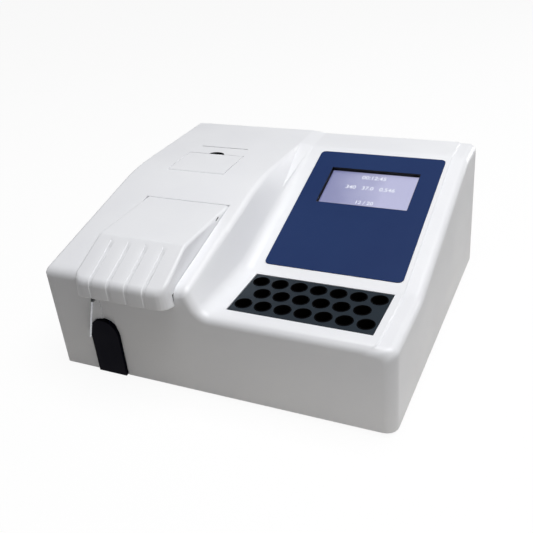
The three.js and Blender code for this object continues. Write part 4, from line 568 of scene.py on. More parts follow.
class Workshop:
    """Ways of making, shaping and naming pieces."""

    @staticmethod
    def pick(*objects: bpy.types.Object) -> None:
        """Selects these objects alone, the first of them active."""
        bpy.ops.object.select_all(action="DESELECT")
        for o in objects:
            o.select_set(True)
        bpy.context.view_layer.objects.active = objects[0]

    @staticmethod
    @contextmanager
    def editing(o: bpy.types.Object) -> Iterator[None]:
        """Edit mode on one object, in face mode.

        Args:
            o: the object.
        Returns:
            The block that runs in edit mode.
        """
        Workshop.pick(o)
        bpy.ops.object.mode_set(mode="EDIT")
        bpy.ops.mesh.select_mode(type="FACE")
        yield
        bpy.ops.object.mode_set(mode="OBJECT")

    @staticmethod
    def choose(o: bpy.types.Object, test: Callable[[Vector, Vector], bool]) -> None:
        """Selects faces of the object in edit mode.

        Args:
            o: the object.
            test: takes a face's centre and normal.
        """
        bpy.ops.mesh.select_all(action="DESELECT")
        bpy.ops.object.mode_set(mode="OBJECT")
        for face in o.data.polygons:
            face.select = test(face.center, face.normal)
        bpy.ops.object.mode_set(mode="EDIT")

    @staticmethod
    def apply(o: bpy.types.Object, kind: str, **settings: Any) -> None:
        """Adds a modifier and applies it.

        Args:
            o: the object.
            kind: the modifier's type.
            settings: its properties.
        """
        Workshop.pick(o)
        modifier = o.modifiers.new(kind.lower(), kind)
        for key, value in settings.items():
            setattr(modifier, key, value)
        bpy.ops.object.modifier_apply(modifier=modifier.name)

    @staticmethod
    def turned(
        profile: Sequence[tuple[float, float]], sides: int = 32, degrees: float = 40
    ) -> bpy.types.Object:
        """Makes a round piece about the Z axis by drawing a circle through an outline.

        Args:
            profile: its outline as radius and height, in millimetres; a radius of POLE closes it.
            sides: how many sides it has.
            degrees: angle up to which it is shaded smooth.
        Returns:
            The piece.
        """
        radius, height = profile[0]
        bpy.ops.object.select_all(action="DESELECT")
        bpy.ops.mesh.primitive_circle_add(vertices=sides, radius=radius * MM, location=(0, 0, 0))
        o = bpy.context.object
        o.data.transform(Matrix.Translation((0, 0, height * MM)))
        with Workshop.editing(o):
            bpy.ops.mesh.select_mode(type="EDGE")
            bpy.ops.mesh.select_all(action="SELECT")
            for to_radius, to_height in profile[1:]:
                rise = (to_height - height) * MM
                share = to_radius / radius
                bpy.ops.mesh.extrude_edges_move(TRANSFORM_OT_translate={"value": (0, 0, rise)})
                bpy.ops.transform.resize(value=(share, share, 1), center_override=(0, 0, 0))
                radius, height = to_radius, to_height
            bpy.ops.mesh.select_all(action="SELECT")
            bpy.ops.mesh.remove_doubles(threshold=ROUND_MERGE)
            bpy.ops.mesh.normals_make_consistent(inside=False)
        Workshop.smooth(o, degrees)
        return o

    @staticmethod
    def twin(o: bpy.types.Object) -> bpy.types.Object:
        """A copy of a piece with a mesh of its own.

        Args:
            o: the piece.
        Returns:
            The copy.
        """
        made = o.copy()
        made.data = o.data.copy()
        bpy.context.scene.collection.objects.link(made)
        return made

    @staticmethod
    def facing(place: Vector, out: Sequence[float]) -> Matrix:
        """Takes a piece made about Z at the origin to a place, with its Z turned outwards."""
        return Matrix.Translation(place) @ Vector(out).to_track_quat("Z", "Y").to_matrix().to_4x4()

    @staticmethod
    def joined(pieces: Sequence[bpy.types.Object]) -> bpy.types.Object:
        """Makes one object of several.

        Args:
            pieces: the objects, of which the first takes in the rest.
        Returns:
            The first.
        """
        Workshop.pick(*pieces)
        bpy.ops.object.join()
        return pieces[0]

    @staticmethod
    def bar(size: Sequence[float], bevel: float = 0.15) -> bpy.types.Object:
        """A block about the origin with softened edges, standing on z = 0.

        Args:
            size: its three sizes, in millimetres.
            bevel: width of its softened edges, in millimetres.
        Returns:
            The block.
        """
        bpy.ops.object.select_all(action="DESELECT")
        bpy.ops.mesh.primitive_cube_add(size=1, location=(0, 0, 0))
        o = bpy.context.object
        stretch = Matrix.Diagonal((size[0] * MM, size[1] * MM, size[2] * MM, 1))
        o.data.transform(Matrix.Translation((0, 0, size[2] * MM / 2)) @ stretch)
        if bevel > 0:
            Workshop.apply(o, "BEVEL", width=bevel * MM, segments=2, limit_method="ANGLE")
            Workshop.smooth(o)
        return o

    @staticmethod
    def strip(path: Sequence[tuple[float, float]], width: float, thickness: float) -> bpy.types.Object:
        """A bent strip of sheet, drawn through points in the plane of Y and Z.

        Args:
            path: its points along Y and Z, in millimetres.
            width: its width along X, in millimetres.
            thickness: its thickness, in millimetres.
        Returns:
            The strip.
        """
        (y0, z0), (y1, z1) = path[:2]
        bpy.ops.object.select_all(action="DESELECT")
        bpy.ops.mesh.primitive_plane_add(size=1, location=(0, 0, 0))
        o = bpy.context.object
        lean = Matrix.Rotation(math.atan2(z1 - z0, y1 - y0), 4, "X")
        stretch = Matrix.Diagonal((width * MM, math.hypot(y1 - y0, z1 - z0) * MM, 1, 1))
        centre = Vector((0, (y0 + y1) / 2, (z0 + z1) / 2)) * MM
        o.data.transform(Matrix.Translation(centre) @ lean @ stretch)
        end = Vector((0, y1, z1)) * MM
        for edge in o.data.edges:
            ends = [o.data.vertices[i].co for i in edge.vertices]
            edge.select = all((Vector((0, c.y, c.z)) - end).length < 1e-6 for c in ends)
        chosen = [edge.index for edge in o.data.edges if edge.select]
        Workshop.pick(o)
        bpy.ops.object.mode_set(mode="EDIT")
        bpy.ops.mesh.select_mode(type="EDGE")
        bpy.ops.mesh.select_all(action="DESELECT")
        bpy.ops.object.mode_set(mode="OBJECT")
        for index in chosen:
            o.data.edges[index].select = True
        bpy.ops.object.mode_set(mode="EDIT")
        for (ya, za), (yb, zb) in zip(path[1:], path[2:]):
            step = (0, (yb - ya) * MM, (zb - za) * MM)
            bpy.ops.mesh.extrude_edges_move(TRANSFORM_OT_translate={"value": step})
        bpy.ops.mesh.select_all(action="SELECT")
        bpy.ops.mesh.normals_make_consistent(inside=False)
        bpy.ops.object.mode_set(mode="OBJECT")
        Workshop.apply(o, "SOLIDIFY", thickness=thickness * MM, offset=0)
        Workshop.smooth(o, 50)
        return o

    @staticmethod
    def placed(o: bpy.types.Object, place: Sequence[float], turn: float = 0.0) -> bpy.types.Object:
        """A copy of a pattern at a place, turned about the Z axis.

        Args:
            o: the pattern, made about the origin.
            place: where it goes, in millimetres.
            turn: the turn, in degrees.
        Returns:
            The copy.
        """
        made = Workshop.twin(o)
        turned = Matrix.Rotation(math.radians(turn), 4, "Z")
        made.data.transform(Matrix.Translation(Vector(place) * MM) @ turned)
        return made

    @staticmethod
    def smooth(o: bpy.types.Object, degrees: float = 35) -> None:
        """Smooth shading up to an angle, weighted by the faces' areas.

        Args:
            o: the piece.
            degrees: the angle.
        """
        Workshop.pick(o)
        bpy.ops.object.shade_smooth_by_angle(angle=math.radians(degrees))
        Workshop.apply(o, "WEIGHTED_NORMAL", keep_sharp=True, weight=80)

    @staticmethod
    def finish(
        o: bpy.types.Object,
        name: str,
        finish: Palette,
        slot: str,
        body: str,
        replaced: Sequence[str] = (),
    ) -> bpy.types.Object:
        """Names and paints a finished piece, and lets it ride.

        Args:
            o: the piece.
            name: its name.
            finish: its finish.
            slot: its material slot in the record; not used.
            body: the body it rides on.
            replaced: the nodes it takes the place of.
        Returns:
            The piece.
        """
        o.name = name
        o.data.name = name
        o.data.materials.clear()
        o.data.materials.append(finish.made)
        if replaced:
            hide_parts(*replaced)
        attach(o, body)
        LOG.info("%s: %d faces", name, len(o.data.polygons))
        return o


BODY_OF = {
    node: body for body, members in frame["record"]["behaviour"]["bodies"].items() for node in members
}
SLOT_OF = {part["node"]: part["material_slot"] for part in frame["record"]["subparts"]}


def held(value: float, low: float = 0.0, high: float = 1.0) -> float:
    """A value held between two others."""
    return min(max(value, low), high)


def eased(value: float) -> float:
    """A smooth step of a value, from 0 to 1."""
    share = held(value)
    return share * share * (3 - 2 * share)


def middle(node: str) -> Vector:
    """The middle of a solid's box."""
    low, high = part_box(node)
    return (low + high) / 2


def taken(node: str) -> bpy.types.Object:
    """Copies a solid's shape, with its loose triangles merged into faces.

    Args:
        node: the solid.
    Returns:
        The copy.
    """
    source = frame["nodes"][node]
    o = source.copy()
    o.data = source.data.copy()
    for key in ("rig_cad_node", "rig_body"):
        if key in o:
            del o[key]
    o.parent = None
    o.matrix_world = Matrix.Identity(4)
    bpy.context.scene.collection.objects.link(o)
    with Workshop.editing(o):
        bpy.ops.mesh.select_all(action="SELECT")
        bpy.ops.mesh.remove_doubles(threshold=SOLID_MERGE)
        bpy.ops.mesh.dissolve_limited(angle_limit=FLAT_ANGLE)
    Workshop.pick(o)
    if o.data.has_custom_normals:
        bpy.ops.mesh.customdata_custom_splitnormals_clear()
    return o


def refine(
    node: str,
    finish: Palette,
    width: float = 0.3,
    smooth: float = 35,
    shape: Optional[Callable[[bpy.types.Object], None]] = None,
) -> bpy.types.Object:
    """Takes a solid's shape, softens its edges and dresses it.

    Args:
        node: the solid.
        finish: its finish.
        width: width of the softened edges, in millimetres.
        smooth: angle up to which it is shaded smooth, in degrees.
        shape: what else is done to its mesh, before its edges are softened.
    Returns:
        The piece.
    """
    o = taken(node)
    if shape:
        shape(o)
    if width > 0:
        Workshop.apply(
            o, "BEVEL", width=width * MM, segments=2, limit_method="ANGLE", angle_limit=math.radians(smooth)
        )
    Workshop.smooth(o, smooth)
    return Workshop.finish(o, f"{node}_skin", finish, SLOT_OF[node], BODY_OF[node], (node,))


@dataclass
class Skins:
    """Softened and dressed copies of the plain solids, each with the width of its edges in millimetres."""

    shell: dict[str, float] = field(default_factory=lambda: {"upper_housing": 0.15, "printer_cover": 0.12})
    others: dict[str, tuple[Palette, float]] = field(
        default_factory=lambda: {
            "base_plate": (Palette.SHEET, 0.3),
            "rear_panel": (Palette.SHEET, 0.2),
            "bay_tray": (Palette.GREY, 0.3),
            "hinge_bracket_left": (Palette.GREY, 0.2),
            "hinge_bracket_right": (Palette.GREY, 0.2),
            "hinge_pin_left": (Palette.STEEL, 0.2),
            "hinge_pin_right": (Palette.STEEL, 0.2),
            "aspiration_needle": (Palette.STEEL, 0.0),
            "needle_sleeve": (Palette.DARK, 0.1),
            "needle_holder": (Palette.DARK, 0.3),
            "sample_tube": (Palette.SILICONE, 0.0),
            "pump_tube": (Palette.SILICONE, 0.0),
            "waste_tube": (Palette.SILICONE, 0.0),
            "pump_body": (Palette.GREY, 0.3),
            "pump_rotor": (Palette.DARK, 0.2),
            "pump_roller_1": (Palette.STEEL, 0.2),
            "pump_roller_2": (Palette.STEEL, 0.2),
            "pump_roller_3": (Palette.STEEL, 0.2),
            "pump_motor": (Palette.ALUMINIUM, 0.3),
            "flow_cell_holder": (Palette.DARK, 0.2),
            "flow_cell": (Palette.GLASS, 0.1),
            "light_detector": (Palette.BOARD, 0.1),
            "optics_bench": (Palette.ALUMINIUM, 0.3),
            "lens_tube": (Palette.DARK, 0.2),
            "filter_wheel": (Palette.DARK, 0.2),
            "filter_motor": (Palette.ALUMINIUM, 0.3),
            "lamp_housing": (Palette.ALUMINIUM, 0.3),
            "lamp": (Palette.GLASS, 0.1),
            "aspirate_key": (Palette.KEY, 0.5),
            "key_bracket": (Palette.SHEET, 0.2),
            "key_switch": (Palette.DARK, 0.2),
            "display_membrane": (Palette.FILM, 0.1),
            "display_glass": (Palette.GLASS, 0.1),
            "display_board": (Palette.BOARD, 0.1),
            "incubator_block": (Palette.SLATE, 0.3),
            "incubator_heater": (Palette.DARK, 0.1),
            "incubator_bracket": (Palette.SHEET, 0.2),
            "cover_pin_left": (Palette.STEEL, 0.1),
            "cover_pin_right": (Palette.STEEL, 0.1),
            "printer_frame": (Palette.BLACK, 0.3),
            "platen_roller": (Palette.RUBBER, 0.2),
            "print_head": (Palette.DARK, 0.1),
            "paper_roll": (Palette.PAPER, 0.2),
            "printer_motor": (Palette.ALUMINIUM, 0.3),
            "main_board": (Palette.BOARD, 0.1),
            "power_supply": (Palette.SHEET, 0.3),
            "fan_frame": (Palette.DARK, 0.3),
            "fan_rotor": (Palette.DARK, 0.1),
            "power_inlet": (Palette.DARK, 0.2),
            "power_switch": (Palette.RUBBER, 0.3),
            "waste_port": (Palette.DARK, 0.2),
        }
    )

    def build(self) -> None:
        """Makes every plain piece."""
        for node, width in self.shell.items():
            refine(node, Palette.SHELL, width)
        for node, (finish, width) in self.others.items():
            refine(node, finish, width)


@dataclass
class BayLid:
    """The lid over the measuring bay, with five bands that swell between its four grooves."""

    bands: int = 5
    straight_width: float = 94.1
    groove_floor_half: float = 1.0
    rib_line: float = -114.5
    rib_height: float = 136.14
    groove_start: float = -119.5
    brow_height: float = 113.6
    slope: float = math.atan2(22.5, 50.1)
    fold: float = 1.15
    crown: float = 0.1
    groove_depth: float = 1.2
    fade: float = 11.0
    across_shares: tuple[float, ...] = (0.05, 0.12, 0.2, 0.35, 0.5, 0.62, 0.73, 0.82, 0.9, 0.96)
    front_share: float = 0.55
    side_share: float = 0.75
    brow_blend: float = 8.0
    fold_from: float = 0.5
    crown_to: float = 0.14
    groove_margin: float = 0.2
    fade_lead: float = 1.0
    along: tuple[float, ...] = (-116.0, -118.0, -119.6, -121.0, -122.5, -124.5, -127.0, -130.0)

    def outwards(self, place: Vector) -> Vector:
        """Which way the lid's front faces: up the slope, or forwards on the skirt.

        Args:
            place: a place on it, in metres.
        Returns:
            The direction.
        """
        blend = held((place.z / MM - self.brow_height + self.brow_blend / 2) / self.brow_blend)
        on_slope = Vector((0, -math.sin(self.slope), math.cos(self.slope)))
        return Vector((0, -1, 0)).lerp(on_slope, blend).normalized()

    def is_front(self, centre: Vector, normal: Vector) -> bool:
        """Tells the faces of the bands and of the grooves from the rest.

        Args:
            centre: the face's centre, in metres.
            normal: the face's normal.
        Returns:
            True for a face of the lid's front.
        """
        ahead = centre.y < self.rib_line * MM
        outer = normal.dot(self.outwards(centre)) > self.front_share
        return ahead and outer and abs(normal.x) < self.side_share

    def sunk(self, share: float, number: int) -> float:
        """How far a band lies under the plain slope.

        Args:
            share: place across the band, from 0 at its left to 1 at its right.
            number: which band, from 0 at the left.
        Returns:
            The depth, in millimetres.
        """
        right_fold = max(0.0, (share - self.fold_from) / (1 - self.fold_from)) ** 2 * self.fold
        left_edge = max(0.0, (self.crown_to - share) / self.crown_to) ** 2 * self.crown
        return (right_fold if number < self.bands - 1 else 0.0) + (left_edge if number > 0 else 0.0)

    def depth_at(self, place: Vector) -> float:
        """How deep a place lies under the plain slope, in millimetres."""
        ahead = Vector((0, place.y / MM - self.rib_line, place.z / MM - self.rib_height))
        return -ahead.dot(Vector((0, -math.sin(self.slope), math.cos(self.slope))))

    def swell(self, o: bpy.types.Object) -> None:
        """Cuts the bands across and along, and shapes them.

        Args:
            o: the lid's copy.
        """
        centre = middle("lid").x / MM
        pitch = self.straight_width / self.bands
        start = centre - self.straight_width / 2
        cuts = [(start + (i + share) * pitch, 0) for i in range(self.bands) for share in self.across_shares]
        with Workshop.editing(o):
            for place, axis in cuts + [(y, 1) for y in self.along]:
                Workshop.choose(o, self.is_front)
                point, normal = [0.0, 0.0, 0.0], [0.0, 0.0, 0.0]
                point[axis], normal[axis] = place * MM, 1.0
                bpy.ops.mesh.bisect(plane_co=point, plane_no=normal)
        faces = [face for face in o.data.polygons if self.is_front(face.center, face.normal)]
        for index in {v for face in faces for v in face.vertices}:
            v = o.data.vertices[index]
            across = (v.co.x / MM - start) / pitch
            number = min(max(int(across), 0), self.bands - 1)
            nearest = min(max(round(across), 1), self.bands - 1)
            beside = v.co.x / MM - start - nearest * pitch
            ahead = self.groove_start - v.co.y / MM
            if abs(beside) < self.groove_floor_half + self.groove_margin:
                fill = (1 - eased((ahead + self.fade_lead) / self.fade)) * self.groove_depth
                v.co += self.outwards(v.co) * min(fill, max(self.depth_at(v.co), 0.0)) * MM
                continue
            grown = eased((self.rib_line - self.fade_lead - v.co.y / MM) / self.fade)
            v.co -= self.outwards(v.co) * self.sunk(held(across - number), number) * grown * MM

    def build(self) -> None:
        """Makes the lid."""
        refine("lid", Palette.SHELL, 0.2, 30, self.swell)


@dataclass
class BaySeams:
    """The pale lip that narrows the seam behind the lid, and a black bar of painted shade in the seam beside
    its hinge.
    """

    lip_path: tuple[tuple[float, float], ...] = ((-27.9, 136.12), (-28.5, 135.98), (-28.95, 135.72))
    lip_ends: tuple[float, float] = (-125.4, -30.4)
    lip_thickness: float = 0.3
    # a black bar that paints the shade of the seam's gap beside the hinge
    slot_size: tuple[float, float, float] = (0.6, 6.4, 1.1)
    slot_place: tuple[float, float, float] = (-30.85, -55.5, 133.0)
    slot_lean: float = 13.0

    def build(self) -> None:
        """Makes both pieces."""
        left, right = self.lip_ends
        lip = Workshop.strip(self.lip_path, right - left, self.lip_thickness)
        lip.data.transform(Matrix.Translation(((left + right) / 2 * MM, 0, 0)))
        Workshop.finish(lip, "lid_rear_lip", Palette.SHELL, "white_shell", "case")
        # black bar: painted shade for the dark gap beside the hinge
        slot = Workshop.bar(self.slot_size, 0.2)
        lean = Matrix.Rotation(math.radians(self.slot_lean), 4, "X")
        slot.data.transform(Matrix.Translation(Vector(self.slot_place) * MM) @ lean)
        Workshop.finish(slot, "lid_hinge_gap_shade", Palette.BLACK, "dark_plastic", "lid")


@dataclass(frozen=True)
class CornerRow:
    """Screws at the four corners of one side of a solid, with lengths in millimetres."""

    name: str
    node: str
    inset: tuple[float, float]
    scale: float
    axis: int = 2
    high: bool = True
    rise: float = 0.0


@dataclass
class Hardware:
    """Screws, modelled once and set where the pieces are fastened."""

    head: float = 2.6
    height: float = 1.7
    slot_width: float = 0.7
    slot_length: float = 3.0
    slot_depth: float = 1.0
    turn_step: float = 0.9
    outline: tuple[tuple[float, float], ...] = ((1, 0), (1, 0.35), (0.94, 0.62), (0.8, 0.84), (0.55, 0.97))
    panel_inset: tuple[float, float] = (8.0, 7.0)
    base_inset: tuple[float, float] = (30.0, 12.0)
    base_scale: float = 0.75
    fan_inset: tuple[float, float] = (5.0, 5.0)
    fan_scale: float = 0.9
    tray_scale: float = 0.8
    corner_rows: tuple[CornerRow, ...] = (
        CornerRow("power_inlet", "power_inlet", (1.9, 1.9), 0.45, axis=1),
        CornerRow("pump", "pump_body", (4.0, 4.0), 0.8),
        CornerRow("main_board", "main_board", (6.0, 6.0), 0.8, high=False, rise=11.6),
        CornerRow("lamp_housing", "lamp_housing", (2.4, 2.4), 0.45),
        CornerRow("power_supply", "power_supply", (6.0, 6.0), 0.9),
        CornerRow("flow_cell_holder", "flow_cell_holder", (6.0, 3.4), 0.6),
    )
    tray_places: tuple[tuple[float, float, float], ...] = (
        (-34.0, -139.0, 80.0),
        (-90.0, -139.0, 80.0),
        (-123.0, -110.0, 80.0),
        (-122.0, -36.0, 80.0),
        (-34.0, -36.0, 80.0),
    )

    def screw(self) -> bpy.types.Object:
        """One pan-head screw with a crossed recess, standing on z = 0.

        Returns:
            The screw.
        """
        height = self.height
        dome = [(self.head * out, height * up) for out, up in self.outline]
        o = Workshop.turned([(POLE, 0.0), *dome, (POLE, height)], 24)
        for turn in (0, math.pi / 2):
            cutter = Workshop.bar((self.slot_length, self.slot_width, self.slot_depth * 2), 0)
            cutter.data.transform(Matrix.Rotation(turn, 4, "Z"))
            cutter.data.transform(Matrix.Translation((0, 0, (height - self.slot_depth) * MM)))
            Workshop.apply(o, "BOOLEAN", object=cutter, operation="DIFFERENCE", solver="EXACT")
            bpy.data.objects.remove(cutter)
        Workshop.smooth(o, 40)
        return o

    def row(
        self, name: str, body: str, out: Sequence[float], places: Sequence[Vector], scale: float = 1.0
    ) -> None:
        """Sets screws that fasten one piece.

        Args:
            name: what they fasten.
            body: the body they ride on.
            out: which way their heads face.
            places: the places under their heads, in metres.
            scale: their size against the pattern's.
        """
        pattern = self.screw()
        pattern.data.transform(Matrix.Diagonal((scale, scale, scale, 1)))
        for number, place in enumerate(places, 1):
            o = Workshop.twin(pattern)
            turn = Matrix.Rotation(number * self.turn_step, 4, "Z")
            o.data.transform(Workshop.facing(place, out) @ turn)
            Workshop.finish(o, f"{name}_screw_{number}", Palette.STEEL, "steel", body)
        bpy.data.objects.remove(pattern)

    @staticmethod
    def corners(node: str, axis: int, high: bool, inset: Sequence[float]) -> list[Vector]:
        """The four corners of one side of a solid's box, drawn in.

        Args:
            node: the solid.
            axis: the axis that the side faces, 0 to 2.
            high: true for the side at the axis's upper end.
            inset: how far they are drawn in along the two other axes, in millimetres.
        Returns:
            The places.
        """
        low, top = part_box(node)
        others = [i for i in range(3) if i != axis]
        places = []
        for first in (low[others[0]] + inset[0] * MM, top[others[0]] - inset[0] * MM):
            for second in (low[others[1]] + inset[1] * MM, top[others[1]] - inset[1] * MM):
                place = Vector((0, 0, 0))
                place[axis] = (top if high else low)[axis]
                place[others[0]], place[others[1]] = first, second
                places.append(place)
        return places

    def build(self) -> None:
        """Sets every row of screws."""
        low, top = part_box("rear_panel")
        side, end = (inset * MM for inset in self.panel_inset)
        across = (low.x + side, middle("rear_panel").x, top.x - side)
        panel = [Vector((x, top.y, z)) for x in across for z in (low.z + end, top.z - end)]
        self.row("rear_panel", "case", BACK, panel)
        low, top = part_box("base_plate")
        side, end = (inset * MM for inset in self.base_inset)
        rows = (low.y + end, middle("base_plate").y, top.y - end)
        base = [Vector((x, y, low.z)) for x in (low.x + side, top.x - side) for y in rows]
        self.row("base_plate", "case", DOWN, base, self.base_scale)
        fan = Hardware.corners("fan_frame", 1, True, self.fan_inset)
        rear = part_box("rear_panel")[1].y
        self.row("fan", "case", BACK, [Vector((p.x, rear, p.z)) for p in fan], self.fan_scale)
        for each in self.corner_rows:
            out = BACK if each.axis == 1 else UP
            lift = Vector(out) * each.rise * MM
            places = [p + lift for p in Hardware.corners(each.node, each.axis, each.high, each.inset)]
            self.row(each.name, "case", out, places, each.scale)
        self.row("bay_tray", "case", UP, [Vector(p) * MM for p in self.tray_places], self.tray_scale)


@dataclass
class Console:
    """The sloped console: its screen, the black ring of painted shade round its window, and the readings on
    it.
    """

    bend: tuple[float, float] = (-64.3, 87.6)
    tilt: float = math.atan2(56.3, 186.7)
    left: float = 34.0
    right: float = 128.8
    low: float = 104.8
    high: float = 160.8
    screen_top: float = -4.09
    border: float = 0.8
    reading_thickness: float = 0.06
    reading_stroke: float = 0.1
    reading_size: float = 6.0
    # the window's black ring: painted shade on the recess walls round the screen
    seal_wall: float = 0.35
    seal_bottom: float = -2.62
    seal_top: float = 0.3
    seal_bevel: float = 0.05
    lit_colour: str = "BAB8DA"
    lit_corner: str = "7274A6"
    lit_frame: str = "0A0A10"
    readings: tuple[tuple[str, str, tuple[float, float], float], ...] = (
        ("reading_upper", "00:12:45", (81.8, 152.4), 26.0),
        ("reading_middle", "340   37.0   0.546", (81.9, 136.0), 52.0),
        ("reading_lower", "12 / 20", (81.9, 113.7), 18.0),
    )

    def on_slope(self) -> Matrix:
        """Takes a place on the slope, in metres, to the row frame."""
        bend = Matrix.Translation((0, self.bend[0] * MM, self.bend[1] * MM))
        return bend @ Matrix.Rotation(self.tilt, 4, "X")

    def screen(self) -> None:
        """Dresses the screen's module."""
        glow = LitScreen(
            name="lit_screen",
            centre=self.lit_colour,
            corner=self.lit_corner,
            frame=self.lit_frame,
            left=(self.left + self.border) * MM,
            right=(self.right - self.border) * MM,
            low=(self.low + self.border) * MM,
            high=(self.high - self.border) * MM,
            tilt=self.tilt,
            origin=(0.0, self.bend[0] * MM, self.bend[1] * MM),
        )
        o = refine("display_module", Palette.DARK, 0.15)
        o.data.materials.clear()
        o.data.materials.append(glow.material())

    # painted shade: a black ring on the window's walls, where the recess lies in shadow
    def seal(self) -> None:
        """Makes the black ring that lines the window's walls, as painted shade in the recess round the
        screen.
        """
        wide, deep = self.right - self.left, self.high - self.low
        bpy.ops.object.select_all(action="DESELECT")
        bpy.ops.mesh.primitive_plane_add(size=1, location=(0, 0, 0))
        o = bpy.context.object
        o.data.transform(Matrix.Diagonal((wide * MM, deep * MM, 1, 1)))
        wall, rise = self.seal_wall * MM, (self.seal_top - self.seal_bottom) * MM
        with Workshop.editing(o):
            bpy.ops.mesh.select_all(action="SELECT")
            bpy.ops.mesh.inset(thickness=wall, depth=0)
            Workshop.choose(o, lambda c, n: abs(c.x) < wall and abs(c.y) < wall)
            bpy.ops.mesh.delete(type="FACE")
            bpy.ops.mesh.select_all(action="SELECT")
            bpy.ops.mesh.extrude_region_move(TRANSFORM_OT_translate={"value": (0, 0, rise)})
            bpy.ops.mesh.select_all(action="SELECT")
            bpy.ops.mesh.normals_make_consistent(inside=False)
        centre = Vector(((self.left + self.right) / 2, (self.low + self.high) / 2, self.seal_bottom)) * MM
        o.data.transform(self.on_slope() @ Matrix.Translation(centre))
        Workshop.apply(o, "BEVEL", width=self.seal_bevel * MM, segments=1, limit_method="ANGLE")
        Workshop.smooth(o)
        Workshop.finish(o, "window_shade_ring", Palette.BLACK, "dark_plastic", "case")

    def reading(self, name: str, figures: str, place: tuple[float, float], width: float) -> None:
        """Sets one line of plain figures on the screen.

        Args:
            name: the piece's name.
            figures: what it shows.
            place: its middle on the slope, in millimetres.
            width: how wide the line is, in millimetres.
        """
        bpy.ops.object.select_all(action="DESELECT")
        bpy.ops.object.text_add(location=(0, 0, 0))
        o = bpy.context.object
        o.data.body = figures
        o.data.size = self.reading_size * MM
        o.data.extrude = self.reading_thickness / 2 * MM
        o.data.offset = self.reading_stroke * MM
        o.data.align_x = "CENTER"
        o.data.align_y = "CENTER"
        bpy.ops.object.convert(target="MESH")
        o = bpy.context.object
        rise = self.screen_top + self.reading_thickness
        spread = width * MM / o.dimensions.x
        o.data.transform(Matrix.Diagonal((spread, spread, 1, 1)))
        o.data.transform(self.on_slope() @ Matrix.Translation(Vector((place[0], place[1], rise)) * MM))
        Workshop.finish(o, name, Palette.READING, "screen", "case")

    def build(self) -> None:
        """Makes the console's pieces."""
        self.screen()
        self.seal()
        for name, figures, place, width in self.readings:
            self.reading(name, figures, place, width)


@dataclass
class Wells:
    """The liners of the twenty heated wells, with their rolled rims; near-black, as painted shade for the
    dark depths of the holes.
    """

    first: tuple[float, float] = (22.85, -118.8)
    pitch: float = 18.85
    row: float = 19.35
    rows: tuple[int, ...] = (7, 6, 7)
    outer: float = 7.2
    bore: float = 6.95
    rim: float = 8.0
    top: float = 87.2
    rim_rise: float = 0.55
    depth: float = 30.0
    sides: int = 32

    def liner(self) -> bpy.types.Object:
        """One liner round the Z axis, its rim's underside at z = 0.

        Returns:
            The liner.
        """
        return Workshop.turned(
            [
                (POLE, -self.depth - 0.4),
                (self.outer, -self.depth),
                (self.outer, 0.0),
                (self.rim, 0.0),
                (self.rim - 0.15, self.rim_rise * 0.8),
                (self.rim - 0.45, self.rim_rise),
                (self.bore + 0.5, self.rim_rise),
                (self.bore + 0.12, self.rim_rise * 0.7),
                (self.bore, 0.0),
                (self.bore, -self.depth + 2.0),
                (self.bore - 1.4, -self.depth + 0.9),
                (POLE, -self.depth + 0.5),
            ],
            self.sides,
        )

    def build(self) -> None:
        """Makes the liners, one in each well."""
        pattern = self.liner()
        number = 0
        for row, count in enumerate(self.rows):
            shift = self.pitch / 2 if count == min(self.rows) else 0.0
            for i in range(count):
                number += 1
                o = Workshop.twin(pattern)
                x, y = self.first[0] + shift + i * self.pitch, self.first[1] + row * self.row
                place = Vector((x, y, self.top))
                o.data.transform(Matrix.Translation(place * MM))
                Workshop.finish(o, f"well_liner_{number}", Palette.WELL, "dark_plastic", "case")
        bpy.data.objects.remove(pattern)


@dataclass
class Feet:
    """The four rubber feet, each with a screw up its recess."""

    corners: tuple[str, ...] = ("front_left", "front_right", "rear_left", "rear_right")
    rim: float = 3.6
    recess: float = 1.7
    face_share: float = 0.9
    face_reach: float = 0.2
    screw_scale: float = 0.8

    def hollow(self, o: bpy.types.Object) -> None:
        """Sinks a recess into a foot's underside.

        Args:
            o: the foot's copy.
        """
        with Workshop.editing(o):
            Workshop.choose(o, lambda c, n: n.z < -self.face_share and c.z < self.face_reach * MM)
            bpy.ops.mesh.inset(thickness=self.rim * MM, depth=0)
            bpy.ops.mesh.extrude_region_move(TRANSFORM_OT_translate={"value": (0, 0, self.recess * MM)})

    def build(self) -> None:
        """Makes the feet and their screws."""
        for corner in self.corners:
            refine(f"foot_{corner}", Palette.RUBBER, 0.4, 35, self.hollow)
            centre = middle(f"foot_{corner}")
            place = Vector((centre.x, centre.y, self.recess * MM))
            Hardware().row(f"foot_{corner}", "case", DOWN, [place], self.screw_scale)


